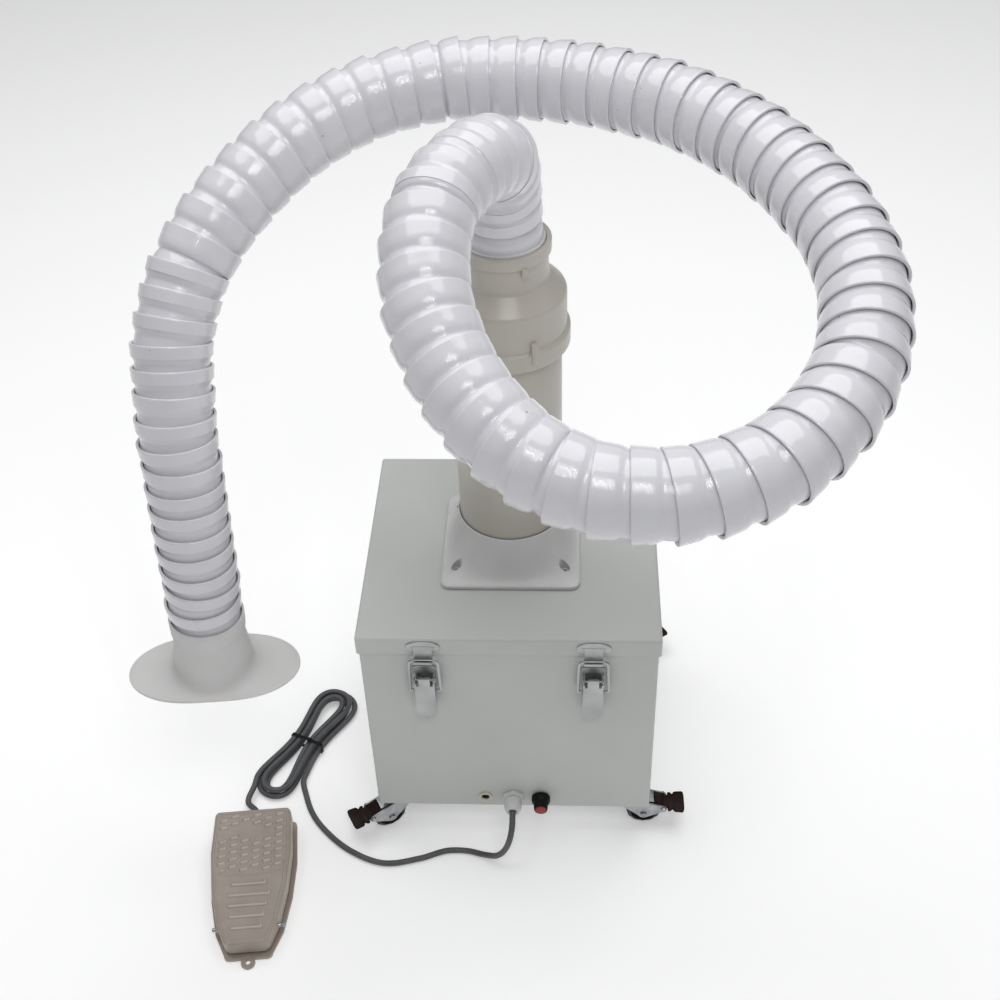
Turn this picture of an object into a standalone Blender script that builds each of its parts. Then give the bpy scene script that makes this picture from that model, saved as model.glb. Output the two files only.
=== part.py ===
"""Portable welding fume extractor: a wheeled filter cabinet with a pipe, a self-supporting arm of
nested cups, an oval hood and a foot pedal on a cable.

Metres, +Z up. The origin is the centre of the cabinet's underside, -Y is the front, and the floor
lies one caster height below the origin.
"""

import math

import bmesh
import bpy
import numpy as np
from mathutils import Matrix, Vector

# Fits shared by all pieces
SEAT_GAP = 0.0003
SHEET = 0.0015
OVERCUT = 0.005
MERGE = 0.00001
ROUND_ANGLE = math.radians(35)

# Cabinet and lid
CABINET_WIDTH = 0.314
CABINET_DEPTH = 0.290
CABINET_HEIGHT = 0.281
CORNER_RADIUS = 0.0025
LID_EDGE_HEIGHT = 0.0237
LID_OVERHANG = 0.0026
LID_HOLE_RADIUS = 0.050
LIP_WIDTH = 0.014
GASKET_WIDTH = 0.009
GASKET_HEIGHT = 0.0027

# Hinge at the back of the lid
HINGE_WIDTH = 0.180
HINGE_KNUCKLES = 5
HINGE_SHEET = 0.0012
HINGE_KNUCKLE_RADIUS = 0.003
HINGE_PIN_RADIUS = 0.0012
HINGE_BORE_CLEARANCE = 0.0003
HINGE_LEAF_HEIGHT = 0.016
HINGE_STEP = 0.0006

# Toggle latches, measured from the pin on which the lever turns
LATCH_X = 0.089
LATCH_PIN_DROP = 0.057
LATCH_PIN_OUT = 0.0077
LATCH_PIN_RADIUS = 0.0016
LATCH_SHEET = 0.0012
LATCH_CLEARANCE = 0.0003
LATCH_BASE_WIDTH = 0.026
LATCH_BASE_UP = 0.015
LATCH_BASE_DOWN = 0.019
LATCH_BASE_CORNER = 0.004
LATCH_EAR_RADIUS = 0.0035
LATCH_EAR_X = 0.0093
LEVER_WIDTH = 0.024
LEVER_UP = 0.004
LEVER_DOWN = 0.066
LEVER_OUT = 0.0063
LEVER_IN = 0.002
LEVER_ROUND = 0.008
LEVER_CHEEK_DOWN = 0.021
LEVER_CHEEK_TAPER = 0.050
LOOP_WIRE_RADIUS = 0.0015
LOOP_HALF_WIDTH = 0.0165
LOOP_UP = 0.0295
LOOP_DOWN = 0.016
LOOP_CORNER = 0.0035
CATCH_WIDTH = 0.036
CATCH_HEIGHT = 0.011
CATCH_TOP_DROP = 0.004
HOOK_WIDTH = 0.0186
HOOK_ROOM = 0.0034
HOOK_LIP = 0.0012
HOOK_CHAMFER = 0.0008

# Fittings on the front wall
FITTING_HEIGHT = 0.016
FITTING_SPACING = 0.032
JACK_RADIUS = 0.008
JACK_FACE = 0.002
JACK_BARREL_RADIUS = 0.0058
JACK_BARREL_DEPTH = 0.014
JACK_WELL_RADIUS = 0.0042
JACK_WELL_DEPTH = 0.0015
JACK_SOCKET_RADIUS = 0.0016
JACK_SOCKET_SPACING = 0.0042
JACK_SOCKET_DEPTH = 0.008
GLAND_LENGTH = 0.0222
GLAND_HEX_WIDTH = 0.0224
GLAND_HEX_HEIGHT = 0.006
GLAND_NUT_RADIUS = 0.0108
GLAND_DOME_RADIUS = 0.0072
GLAND_THREAD_RADIUS = 0.0078
GLAND_THREAD_DEPTH = 0.009
KNOB_LENGTH = 0.0165
KNOB_SKIRT_RADIUS = 0.01085
KNOB_SKIRT_HEIGHT = 0.003
KNOB_RADIUS = 0.0084
KNOB_TOP_RADIUS = 0.0074
KNOB_WALL_GAP = 0.0006
KNOB_GRIPS = 8
KNOB_GRIP_RADIUS = 0.0009
KNOB_CAP_RADIUS = 0.0056
KNOB_CAP_HEIGHT = 0.0014
KNOB_CAP_SEAT = 0.0008
SHAFT_RADIUS = 0.003
SHAFT_OUT = 0.0125
POT_RADIUS = 0.0085
POT_DEPTH = 0.009
BOARD_WIDTH = 0.080
BOARD_HEIGHT = 0.050
BOARD_SHEET = 0.0016
BOARD_FOOT_DEPTH = 0.006

# Exhaust at the back
GRILLE_WIDTH = 0.084
GRILLE_HEIGHT = 0.080
GRILLE_SHEET = 0.002
GRILLE_BORDER = 0.009
GRILLE_SLOTS = 6
GRILLE_SLOT_SHARE = 0.55

# Duct on the lid
FLANGE_SIDE = 0.150
FLANGE_CORNER = 0.010
FLANGE_PLATE = 0.005
FLANGE_EDGE_ROUND = 0.0018
FLANGE_RISE = 0.056
FLANGE_RIM_RADIUS = 0.0575
FLANGE_SIDES = 24
FLANGE_CURVE_SHARES = (0.3, 0.65, 0.9, 1.0)
FLANGE_HOLE_X = 0.058
FLANGE_HOLE_Y = 0.050
FLANGE_COUNTERBORE_RADIUS = 0.006
FLANGE_SCREW_RADIUS = 0.0024
PIPE_RADIUS = 0.055
PIPE_WALL = 0.0032
PIPE_SIDES = 24
PIPE_SHOWN = 0.275
REDUCER_RIM_RADIUS = 0.0634
REDUCER_RIM_HEIGHT = 0.018
REDUCER_BODY_RADIUS = 0.060
REDUCER_BODY_HEIGHT = 0.058
REDUCER_CONE_HEIGHT = 0.017
REDUCER_NECK_RADIUS = 0.0425
REDUCER_NECK_HEIGHT = 0.026
REDUCER_COLLAR_RADIUS = 0.0455
REDUCER_COLLAR_HEIGHT = 0.012
REDUCER_SOCKET_DEPTH = 0.044
REDUCER_SHOULDER_WIDTH = 0.004
REDUCER_SEAT_DEPTH = 0.027
REDUCER_LEDGE_WIDTH = 0.006
REDUCER_EDGE = 0.0012
LUG_WIDTH = 0.007
LUG_HEIGHT = 0.012
LUG_OUT = 0.0025
LUG_TURN = math.radians(-62)

# Arm of nested cups. Each cup's wide mouth faces the cabinet and holds its neighbour's narrow end.
COLLAR_RADIUS = 0.040
COLLAR_CLEARANCE = 0.0005
COLLAR_WALL = 0.004
COLLAR_PROUD = 0.002
CUP_WIDE_RADIUS = 0.0375
CUP_NARROW_RADIUS = 0.0335
NECK_RADIUS = 0.0322
CUP_STEP = 0.0015
HOSE_BORE_RADIUS = 0.029
HOSE_SIDES = 12
STUB_RADIUS = 0.0354
STUB_LENGTH = 0.024
BALL_RADIUS = 0.0338
SOCKET_CLEARANCE = 0.0009
MOUTH_BACK = 0.007
NECK_BACK = 0.0117
BALL_TIP = 0.009
JOINT_REACH = 0.0195
SOCKET_COVER = 0.010
SOCKET_COVER_RADIUS = 0.0370
ARM_REACH = 0.400
ARM_ROUTE_SHARES = (
    (0.00, 0.00, 0.00), (0.00, 0.00, 0.19), (0.00, -0.13, 0.285), (-0.15, -0.35, 0.285),
    (-0.13, -0.62, 0.13), (0.08, -0.87, -0.03), (0.43, -0.92, -0.04), (0.72, -0.73, 0.06),
    (0.77, -0.36, 0.19), (0.50, 0.06, 0.28), (0.06, 0.27, 0.28), (-0.37, 0.20, 0.27),
    (-0.64, -0.07, 0.11), (-0.77, -0.27, -0.07), (-0.735, -0.41, -0.40), (-0.745, -0.44, -0.83),
)
SECTION_LENGTHS = (0.240, 0.260, 0.280, 0.280, 0.300, 0.300)
SECTION_CUPS = (10, 10, 10, 11, 12, 11, 16)
JOINT_AXES = ("level", "upright", "level", "level", "upright", "level", "level")
JOINT_SIGNS = (-1, 1, 1, -1, -1, -1, -1)

# Hood
HOOD_LENGTH = 0.069
HOOD_HALF_WIDTH = 0.087
HOOD_HALF_DEPTH = 0.0495
HOOD_PLATE = 0.0025
HOOD_TURN = math.radians(7.5)
HOOD_NECK_RADIUS = 0.0355
HOOD_WAIST = 0.012
HOOD_FLARE_RADIUS = 0.0395
HOOD_FLARE = 0.040
HOOD_BORE_RADIUS = 0.0325
HOOD_MOUTH_RADIUS = 0.044
HOOD_RIM_POINT = 0.066
HOOD_SIDES = 20
HOOD_CURVE_SHARES = (0.12, 0.35, 0.7)
HOOD_OVAL_POWER = 0.4

# Filters and fan inside the cabinet
DECK_TOP = 0.115
DECK_EDGE = 0.014
DECK_HOLE_RADIUS = 0.048
CARTRIDGE_CLEARANCE = 0.003
CARTRIDGE_HEIGHT = 0.075
CARTRIDGE_FRAME = 0.008
CARTRIDGE_PLEATS = 12
CARTRIDGE_PACK_SHARE = 0.9
CARTRIDGE_PAPER = 0.003
PREFILTER_HEIGHT = 0.015
PREFILTER_CORNER = 0.006
BLOWER_X = -0.055
BLOWER_Y = -0.020
BLOWER_HEIGHT = 0.058
BLOWER_WALL = 0.002
BLOWER_INLET_RADIUS = 0.042
SCROLL_START_RADIUS = 0.056
SCROLL_END_RADIUS = 0.092
SCROLL_POINTS = 15
OUTLET_WIDTH = 0.046
MOTOR_RADIUS = 0.022
MOTOR_HEIGHT = 0.018
MOTOR_SHAFT_RADIUS = 0.003
IMPELLER_RADIUS = 0.048
IMPELLER_HEIGHT = 0.036
IMPELLER_PLATE = 0.002
IMPELLER_RING = 0.004
IMPELLER_HUB_RADIUS = 0.008
IMPELLER_BLADES = 12
BLADE_DEPTH = 0.010
BLADE_THICKNESS = 0.0012
BLADE_TURN = math.radians(28)
IMPELLER_CLEARANCE = 0.0003

# Casters
CASTER_HEIGHT = 0.050
CASTER_INSET_X = 0.027
CASTER_INSET_Y = 0.023
CASTER_PLATE = 0.038
CASTER_PLATE_SHEET = 0.002
CASTER_CUP_RADIUS = 0.013
CASTER_CUP_HEIGHT = 0.0027
CASTER_FORK_SHEET = 0.002
CASTER_KING_RADIUS = 0.003
CASTER_KING_HEAD_RADIUS = 0.0045
CASTER_KING_HEAD = 0.0014
CASTER_TRAIL = 0.022
CASTER_CLEARANCE = 0.0003
WHEEL_RADIUS = 0.020
WHEEL_WIDTH = 0.017
WHEEL_ROUND = 0.003
WHEEL_HUB_RADIUS = 0.0065
WHEEL_WEB = 0.005
WHEEL_RIM = 0.005
AXLE_RADIUS = 0.0025
FORK_INNER = 0.0093
FORK_CHEEK = 0.0018
FORK_HUB_RADIUS = 0.0065
FORK_LUG_RADIUS = 0.0042
AXLE_HEAD_RADIUS = 0.0042
AXLE_HEAD = 0.0018
BRAKE_X = 0.045
BRAKE_DROP = 0.020
BRAKE_WIDTH = 0.035
BRAKE_INNER = 0.0035
BRAKE_OUTER = 0.028
BRAKE_THICKNESS = 0.0035
BRAKE_WAIST = 0.009
BRAKE_PIN_RADIUS = 0.0018
CASTER_HEADINGS = (math.radians(209), math.radians(0), math.radians(160), math.radians(35))

# Foot pedal, measured from the middle of its rear edge
PEDAL_X = -0.307
PEDAL_Y = -0.148
PEDAL_TURN = math.radians(6.4)
PEDAL_REAR_HALF = 0.0438
PEDAL_WIDE_HALF = 0.0457
PEDAL_WIDE_AT = 0.055
PEDAL_MID_HALF = 0.042
PEDAL_MID_AT = 0.100
PEDAL_PIN_HALF = 0.034
PEDAL_PIN_AT = 0.143
PEDAL_FRONT_HALF = 0.023
PEDAL_LENGTH = 0.171
PEDAL_CORNER = 0.006
TREADLE_REAR_HEIGHT = 0.038
TREADLE_FRONT_HEIGHT = 0.027
TREADLE_SKIRT = 0.020
TREADLE_SHEET = 0.0025
TREADLE_RIBS = 5
TREADLE_RIB_LENGTH = 0.030
TREADLE_RIB_WIDTH = 0.0026
TREADLE_RIB_PITCH = 0.0088
TREADLE_RIB_START = 0.098
TREADLE_RIB_RISE = 0.0008
TREAD_ROWS = 5
TREAD_COLUMNS = 4
TREAD_PITCH = 0.015
TREAD_LENGTH = 0.010
PEDAL_BASE_SHEET = 0.004
PEDAL_BASE_MARGIN = 0.004
PEDAL_WALL_GAP = 0.0014
PEDAL_BOX_HALF = 0.025
PEDAL_BOX_START = 0.055
PEDAL_BOX_END = 0.115
PEDAL_BOX_HEIGHT = 0.016
PEDAL_EAR_RADIUS = 0.008
PEDAL_EAR_HOLE = 0.003
PEDAL_EAR_OUT = 0.0035
PEDAL_PIN_RADIUS = 0.0025
PEDAL_PIN_HEIGHT = 0.015
PEDAL_PIN_LENGTH = 0.075
PEDAL_PIN_CLEARANCE = 0.0003
PEDAL_POST_HALF = 0.020
PEDAL_POST_SHEET = 0.005
PEDAL_POST_REACH = 0.006
PEDAL_GROMMET_RADIUS = 0.006
PEDAL_GROMMET_LENGTH = 0.005
PEDAL_GROMMET_HEIGHT = 0.012
SPRING_AT = 0.034
SPRING_RADIUS = 0.006
SPRING_WIRE_RADIUS = 0.0009
SPRING_TURNS = 3

# Cable, on the floor from the gland to the pedal
CABLE_RADIUS = 0.0035
CABLE_STEP = 0.016
CABLE_FLOOR = CABLE_RADIUS + 0.0002 - CASTER_HEIGHT
HANK_X = -0.265
HANK_Y = -0.0235
HANK_TURN = math.radians(65.7)
HANK_HALF_LENGTH = 0.093
HANK_WAIST_HALF = 0.0200
HANK_WAIST_STEP = 0.0078
HANK_LOBE = 0.040
HANK_LOBE_STEP = 0.0085
HANK_END_STEP = 0.0082
HANK_LAYER = 0.0076
HANK_FLOOR = CABLE_RADIUS + 0.0018 - CASTER_HEIGHT
HANK_START = math.radians(-115)
HANK_END = math.radians(1230)
HANK_CLIMB = math.radians(630)
HANK_CLIMB_SPAN = math.radians(180)
HANK_LOOP_POINTS = 24
TIE_WIDTH = 0.0045
TIE_SHEET = 0.0012
TIE_CLEARANCE = 0.0006
CABLE_RUN_POINTS = (
    (0.000, -0.1830, 0.0140), (-0.002, -0.1920, 0.0040),
    (-0.008, -0.1960, -0.0140), (-0.018, -0.1930, -0.0310), (-0.034, -0.1840, -0.0425),
    (-0.052, -0.1770, -0.0463), (-0.075, -0.1765, -0.0463), (-0.108, -0.1880, -0.0463),
    (-0.150, -0.1955, -0.0463), (-0.190, -0.1800, -0.0463), (-0.220, -0.1560, -0.0463),
    (-0.242, -0.1290, -0.0463), (-0.254, -0.1020, -0.0460),
)
CABLE_TAIL_POINTS = ((-0.3215, -0.1180, -0.0400), (-0.3110, -0.1290, -0.0385))

COLOURS = {
    "cabinet_paint": ((0.70, 0.72, 0.70), 0.42, 0.0),
    "steel": ((0.62, 0.62, 0.62), 0.30, 1.0),
    "zinc": ((0.55, 0.56, 0.58), 0.34, 1.0),
    "rubber": ((0.03, 0.03, 0.03), 0.80, 0.0),
    "wheel": ((0.08, 0.06, 0.06), 0.60, 0.0),
    "brown_plastic": ((0.035, 0.022, 0.018), 0.45, 0.0),
    "cream_plastic": ((0.66, 0.64, 0.56), 0.45, 0.0),
    "white_plastic": ((0.80, 0.80, 0.80), 0.30, 0.0),
    "gloss_white": ((0.82, 0.82, 0.85), 0.16, 0.0),
    "black_plastic": ((0.02, 0.02, 0.02), 0.45, 0.0),
    "red_plastic": ((0.55, 0.03, 0.02), 0.40, 0.0),
    "pedal_cast": ((0.33, 0.28, 0.23), 0.55, 0.0),
    "filter_paper": ((0.70, 0.68, 0.60), 0.90, 0.0),
    "foam": ((0.12, 0.12, 0.13), 0.95, 0.0),
    "board": ((0.04, 0.20, 0.08), 0.50, 0.0),
    "cable": ((0.07, 0.07, 0.075), 0.55, 0.0),
}


def clear_scene():
    for obj in list(bpy.data.objects):
        bpy.data.objects.remove(obj, do_unlink=True)


def new_collection(name):
    group = bpy.data.collections.new(name)
    bpy.context.scene.collection.children.link(group)
    return group


def material(name):
    found = bpy.data.materials.get(name)
    if found:
        return found
    colour, roughness, metallic = COLOURS[name]
    made = bpy.data.materials.new(name)
    made.use_nodes = True
    shader = made.node_tree.nodes["Principled BSDF"]
    shader.inputs["Base Color"].default_value = (*colour, 1.0)
    shader.inputs["Roughness"].default_value = roughness
    shader.inputs["Metallic"].default_value = metallic
    return made


# Building blocks: every one returns an object whose mesh lies in world coordinates
def object_from_mesh(name, mesh):
    obj = bpy.data.objects.new(name, mesh)
    WORK.objects.link(obj)
    obj.hide_render = True
    obj.display_type = "WIRE"
    return obj


def object_from_bmesh(name, bm):
    mesh = bpy.data.meshes.new(name)
    bm.to_mesh(mesh)
    bm.free()
    return object_from_mesh(name, mesh)


def remove(obj):
    bpy.data.objects.remove(obj, do_unlink=True)


def solidified(obj, weld=False):
    """The object with its curve or modifiers turned into a plain mesh."""
    graph = bpy.context.evaluated_depsgraph_get()
    mesh = bpy.data.meshes.new_from_object(obj.evaluated_get(graph), depsgraph=graph)
    mesh.transform(obj.matrix_world)
    name = obj.name
    remove(obj)
    if weld:
        bm = bmesh.new()
        bm.from_mesh(mesh)
        bmesh.ops.remove_doubles(bm, verts=bm.verts, dist=MERGE)
        bmesh.ops.recalc_face_normals(bm, faces=bm.faces)
        bm.to_mesh(mesh)
        bm.free()
    return object_from_mesh(name, mesh)


def combine(obj, other, operation):
    step = obj.modifiers.new(operation, "BOOLEAN")
    step.operation = operation
    step.solver = "EXACT"
    step.object = other
    result = solidified(obj)
    remove(other)
    return result


def cut(obj, *cutters):
    for cutter in cutters:
        obj = combine(obj, cutter, "DIFFERENCE")
    return obj


def join(obj, *others):
    for other in others:
        obj = combine(obj, other, "UNION")
    return obj


def moved(obj, matrix):
    obj.data.transform(matrix)
    return obj


def box(name, low, high, corner=0.0, segments=2, edges="upright"):
    """A box between two corners, with its upright or all its edges rounded."""
    bm = bmesh.new()
    bmesh.ops.create_cube(bm, size=1.0)
    size = [b - a for a, b in zip(low, high)]
    middle = [(a + b) / 2 for a, b in zip(low, high)]
    bmesh.ops.scale(bm, vec=size, verts=bm.verts)
    bmesh.ops.translate(bm, vec=middle, verts=bm.verts)
    if corner:
        chosen = bm.edges[:]
        if edges == "upright":
            chosen = [e for e in bm.edges if abs(e.verts[0].co.z - e.verts[1].co.z) > size[2] / 2]
        bmesh.ops.bevel(bm, geom=chosen, offset=corner, segments=segments, profile=0.5, affect="EDGES")
    return object_from_bmesh(name, bm)


def rod(name, start, end, radius, sides=12):
    """A cylinder between two points."""
    start, end = Vector(start), Vector(end)
    bm = bmesh.new()
    bmesh.ops.create_cone(bm, cap_ends=True, segments=sides, radius1=radius, radius2=radius,
                          depth=(end - start).length)
    turn = (end - start).to_track_quat("Z", "Y").to_matrix().to_4x4()
    bmesh.ops.transform(bm, matrix=Matrix.Translation((start + end) / 2) @ turn, verts=bm.verts)
    return object_from_bmesh(name, bm)


def lathe(name, profile, sides):
    """Turns (radius, height) points about Z. They run down the outer side, and a hollow piece's
    points come back up the bore."""
    closed = profile[0][0] > 0
    mesh = bpy.data.meshes.new(name)
    count = len(profile)
    edges = [(i, i + 1) for i in range(count - 1)] + ([(count - 1, 0)] if closed else [])
    mesh.from_pydata([(r, 0.0, z) for r, z in profile], edges, [])
    obj = object_from_mesh(name, mesh)
    screw = obj.modifiers.new("turn", "SCREW")
    screw.axis = "Z"
    screw.steps = sides
    screw.render_steps = sides
    screw.use_merge_vertices = True
    screw.merge_threshold = MERGE
    return solidified(obj)


def plate(name, outlines, thickness, matrix=None):
    """A flat plate in XY about Z = 0, from an outline and any holes in it."""
    curve = bpy.data.curves.new(name, "CURVE")
    curve.dimensions = "2D"
    curve.fill_mode = "BOTH"
    curve.extrude = thickness / 2
    for outline in outlines:
        spline = curve.splines.new("POLY")
        spline.points.add(len(outline) - 1)
        for point, (x, y) in zip(spline.points, outline):
            point.co = (x, y, 0.0, 1.0)
        spline.use_cyclic_u = True
    obj = bpy.data.objects.new(name, curve)
    WORK.objects.link(obj)
    obj = solidified(obj, weld=True)
    return moved(obj, matrix) if matrix else obj


def tube(name, points, radius, resolution=2):
    """A round tube along points, closed at its ends."""
    curve = bpy.data.curves.new(name, "CURVE")
    curve.dimensions = "3D"
    curve.bevel_depth = radius
    curve.bevel_resolution = resolution
    curve.use_fill_caps = True
    spline = curve.splines.new("POLY")
    spline.points.add(len(points) - 1)
    for point, place in zip(spline.points, points):
        point.co = (*place, 1.0)
    obj = bpy.data.objects.new(name, curve)
    WORK.objects.link(obj)
    return solidified(obj, weld=True)


def arc(centre, radius, start, end, steps):
    """Points on a round stretch, both ends included."""
    turns = np.linspace(start, end, steps + 1)
    return [(centre[0] + radius * math.cos(a), centre[1] + radius * math.sin(a)) for a in turns]


def rounded_rectangle(half_x, half_y, corner, steps=3):
    points = []
    for i, (sx, sy) in enumerate(((1, 1), (-1, 1), (-1, -1), (1, -1))):
        centre = (sx * (half_x - corner), sy * (half_y - corner))
        points += arc(centre, corner, i * math.pi / 2, (i + 1) * math.pi / 2, steps)
    return points


def circle(radius, sides, centre=(0.0, 0.0)):
    return arc(centre, radius, 0.0, 2 * math.pi * (1 - 1 / sides), sides - 1)


def rounded_path(points, radius, steps=3):
    """A path in space whose corners are rounded."""
    points = [Vector(p) for p in points]
    path = [points[0]]
    for before, corner, after in zip(points, points[1:], points[2:]):
        a = corner + (before - corner).normalized() * radius
        b = corner + (after - corner).normalized() * radius
        for i in range(steps + 1):
            t = i / steps
            path.append((1 - t) ** 2 * a + 2 * t * (1 - t) * corner + t ** 2 * b)
    return path + [points[-1]]


def loft(name, rings):
    """A closed skin over rings of equal count, the last joined to the first."""
    bm = bmesh.new()
    loops = [[bm.verts.new(p) for p in ring] for ring in rings]
    count = len(loops[0])
    for k, lower in enumerate(loops):
        upper = loops[(k + 1) % len(loops)]
        for i in range(count):
            j = (i + 1) % count
            bm.faces.new((lower[i], lower[j], upper[j], upper[i]))
    bmesh.ops.recalc_face_normals(bm, faces=bm.faces)
    return object_from_bmesh(name, bm)


def across_x(x):
    """Maps a plate drawn in (Y, Z) onto the plane at x."""
    return Matrix(((0, 0, 1, x), (1, 0, 0, 0), (0, 1, 0, 0), (0, 0, 0, 1)))


def across_y(y):
    """Maps a plate drawn in (X, Z) onto the plane at y."""
    return Matrix(((1, 0, 0, 0), (0, 0, -1, y), (0, 1, 0, 0), (0, 0, 0, 1)))


def finish(obj, name, colour):
    """Names the piece, shades it and puts it among the parts."""
    obj.name = name
    obj.data.name = name
    obj.data.materials.clear()
    obj.data.materials.append(material(colour))
    obj.data.shade_smooth()
    obj.data.set_sharp_from_angle(angle=ROUND_ANGLE)
    WORK.objects.unlink(obj)
    PARTS.objects.link(obj)
    obj.hide_render = False
    obj.display_type = "TEXTURED"
    return obj


# Places that several pieces share
FRONT = -CABINET_DEPTH / 2
BACK = CABINET_DEPTH / 2
LID_UNDERSIDE = CABINET_HEIGHT - SHEET
SHELL_TOP = LID_UNDERSIDE - 2 * SEAT_GAP - GASKET_HEIGHT
LID_EDGE_BOTTOM = CABINET_HEIGHT - LID_EDGE_HEIGHT
HINGE_Y = BACK + LID_OVERHANG + SEAT_GAP + HINGE_KNUCKLE_RADIUS
HINGE_Z = LID_EDGE_BOTTOM
LATCH_Y = FRONT - LATCH_PIN_OUT
LATCH_PIN_HEIGHT = CABINET_HEIGHT - LATCH_PIN_DROP
PIPE_BOTTOM = CABINET_HEIGHT + SEAT_GAP
REDUCER_BOTTOM = CABINET_HEIGHT + PIPE_SHOWN
REDUCER_BODY_TOP = REDUCER_BOTTOM + REDUCER_BODY_HEIGHT
REDUCER_CONE_TOP = REDUCER_BODY_TOP + REDUCER_CONE_HEIGHT
REDUCER_COLLAR_RIM = REDUCER_CONE_TOP + REDUCER_NECK_HEIGHT
REDUCER_TOP = REDUCER_COLLAR_RIM + REDUCER_COLLAR_HEIGHT
REDUCER_SHOULDER = REDUCER_BOTTOM + REDUCER_SOCKET_DEPTH
REDUCER_LEDGE = REDUCER_TOP - REDUCER_SEAT_DEPTH
COLLAR_TOP = REDUCER_TOP + COLLAR_PROUD
PIPE_TOP = REDUCER_SHOULDER - SEAT_GAP
SOCKET_RADIUS = BALL_RADIUS + SOCKET_CLEARANCE
CARTRIDGE_WIDTH = CABINET_WIDTH - 2 * (LIP_WIDTH + CARTRIDGE_CLEARANCE)
CARTRIDGE_DEPTH = CABINET_DEPTH - 2 * (LIP_WIDTH + CARTRIDGE_CLEARANCE)
CASTER_X = CABINET_WIDTH / 2 - CASTER_INSET_X
CASTER_Y = CABINET_DEPTH / 2 - CASTER_INSET_Y
OUTLET_X = BLOWER_X + SCROLL_END_RADIUS - OUTLET_WIDTH / 2
BLOWER_TOP = DECK_TOP - SHEET - SEAT_GAP
BLOWER_BOTTOM = BLOWER_TOP - BLOWER_HEIGHT
GRILLE_Z = BLOWER_BOTTOM + BLOWER_HEIGHT / 2
FLOOR = -CASTER_HEIGHT


def cabinet_shell():
    x, y = CABINET_WIDTH / 2, CABINET_DEPTH / 2
    shell = box("cabinet_shell", (-x, -y, 0), (x, y, SHELL_TOP), CORNER_RADIUS)
    cavity = box("cavity", (SHEET - x, SHEET - y, SHEET), (x - SHEET, y - SHEET, SHELL_TOP - SHEET),
                 CORNER_RADIUS - SHEET)
    opening = box("opening", (LIP_WIDTH - x, LIP_WIDTH - y, SHELL_TOP - OVERCUT),
                  (x - LIP_WIDTH, y - LIP_WIDTH, SHELL_TOP + OVERCUT))
    shell = cut(shell, cavity, opening)
    wall = (FRONT - OVERCUT, FRONT + OVERCUT)
    for x, radius in ((-FITTING_SPACING, JACK_BARREL_RADIUS), (0.0, GLAND_THREAD_RADIUS),
                      (FITTING_SPACING, SHAFT_RADIUS)):
        hole = rod("hole", (x, wall[0], FITTING_HEIGHT), (x, wall[1], FITTING_HEIGHT),
                   radius + SEAT_GAP, 12)
        shell = cut(shell, hole)
    inset = GRILLE_BORDER
    half_x, half_z = GRILLE_WIDTH / 2 - inset, GRILLE_HEIGHT / 2 - inset
    outlet = box("outlet", (OUTLET_X - half_x, BACK - OVERCUT, GRILLE_Z - half_z),
                 (OUTLET_X + half_x, BACK + OVERCUT, GRILLE_Z + half_z))
    return finish(cut(shell, outlet), "cabinet_shell", "cabinet_paint")


def thickened(obj, thickness):
    step = obj.modifiers.new("sheet", "SOLIDIFY")
    step.thickness = thickness
    step.offset = -1.0
    step.use_even_offset = True
    return solidified(obj)


def lid():
    half_x = CABINET_WIDTH / 2 + LID_OVERHANG
    half_y = CABINET_DEPTH / 2 + LID_OVERHANG
    bm = bmesh.new()
    bmesh.ops.create_cube(bm, size=1.0)
    bmesh.ops.scale(bm, vec=(2 * half_x, 2 * half_y, LID_EDGE_HEIGHT), verts=bm.verts)
    bmesh.ops.translate(bm, vec=(0, 0, CABINET_HEIGHT - LID_EDGE_HEIGHT / 2), verts=bm.verts)
    kept = [e for e in bm.edges if max(v.co.z for v in e.verts) > LID_EDGE_BOTTOM + SHEET]
    bmesh.ops.bevel(bm, geom=kept, offset=CORNER_RADIUS, segments=2, profile=0.5, affect="EDGES")
    bmesh.ops.delete(bm, geom=[f for f in bm.faces if f.normal.z < -0.9], context="FACES")
    cover = thickened(object_from_bmesh("lid", bm), SHEET)
    hole = rod("hole", (0, 0, CABINET_HEIGHT - OVERCUT), (0, 0, CABINET_HEIGHT + OVERCUT), LID_HOLE_RADIUS, 20)
    return finish(cut(cover, hole), "lid", "cabinet_paint")


def lid_gasket():
    half_x = CABINET_WIDTH / 2 - SHEET
    half_y = CABINET_DEPTH / 2 - SHEET
    outlines = [rounded_rectangle(half_x, half_y, CORNER_RADIUS, 2),
                rounded_rectangle(half_x - GASKET_WIDTH, half_y - GASKET_WIDTH, CORNER_RADIUS, 2)]
    height = SHELL_TOP + SEAT_GAP + GASKET_HEIGHT / 2
    return finish(plate("gasket", outlines, GASKET_HEIGHT, Matrix.Translation((0, 0, height))),
                  "lid_gasket", "rubber")


def hinge_segments(parity):
    length = HINGE_WIDTH / HINGE_KNUCKLES
    for i in range(HINGE_KNUCKLES):
        if i % 2 == parity:
            start = -HINGE_WIDTH / 2 + i * length
            yield start + SEAT_GAP, start + length - SEAT_GAP


def hinge_leaf(name, parity, leaf_low, leaf_high, tab_low, tab_high):
    leaf = box(name, (-HINGE_WIDTH / 2, leaf_low[0], leaf_low[1]), (HINGE_WIDTH / 2, leaf_high[0], leaf_high[1]))
    for start, end in hinge_segments(parity):
        inset = SEAT_GAP
        tab = box("tab", (start + inset, tab_low[0], tab_low[1]), (end - inset, tab_high[0], tab_high[1]))
        knuckle = rod("knuckle", (start, HINGE_Y, HINGE_Z), (end, HINGE_Y, HINGE_Z), HINGE_KNUCKLE_RADIUS, 6)
        leaf = join(leaf, tab, knuckle)
    return leaf


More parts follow.
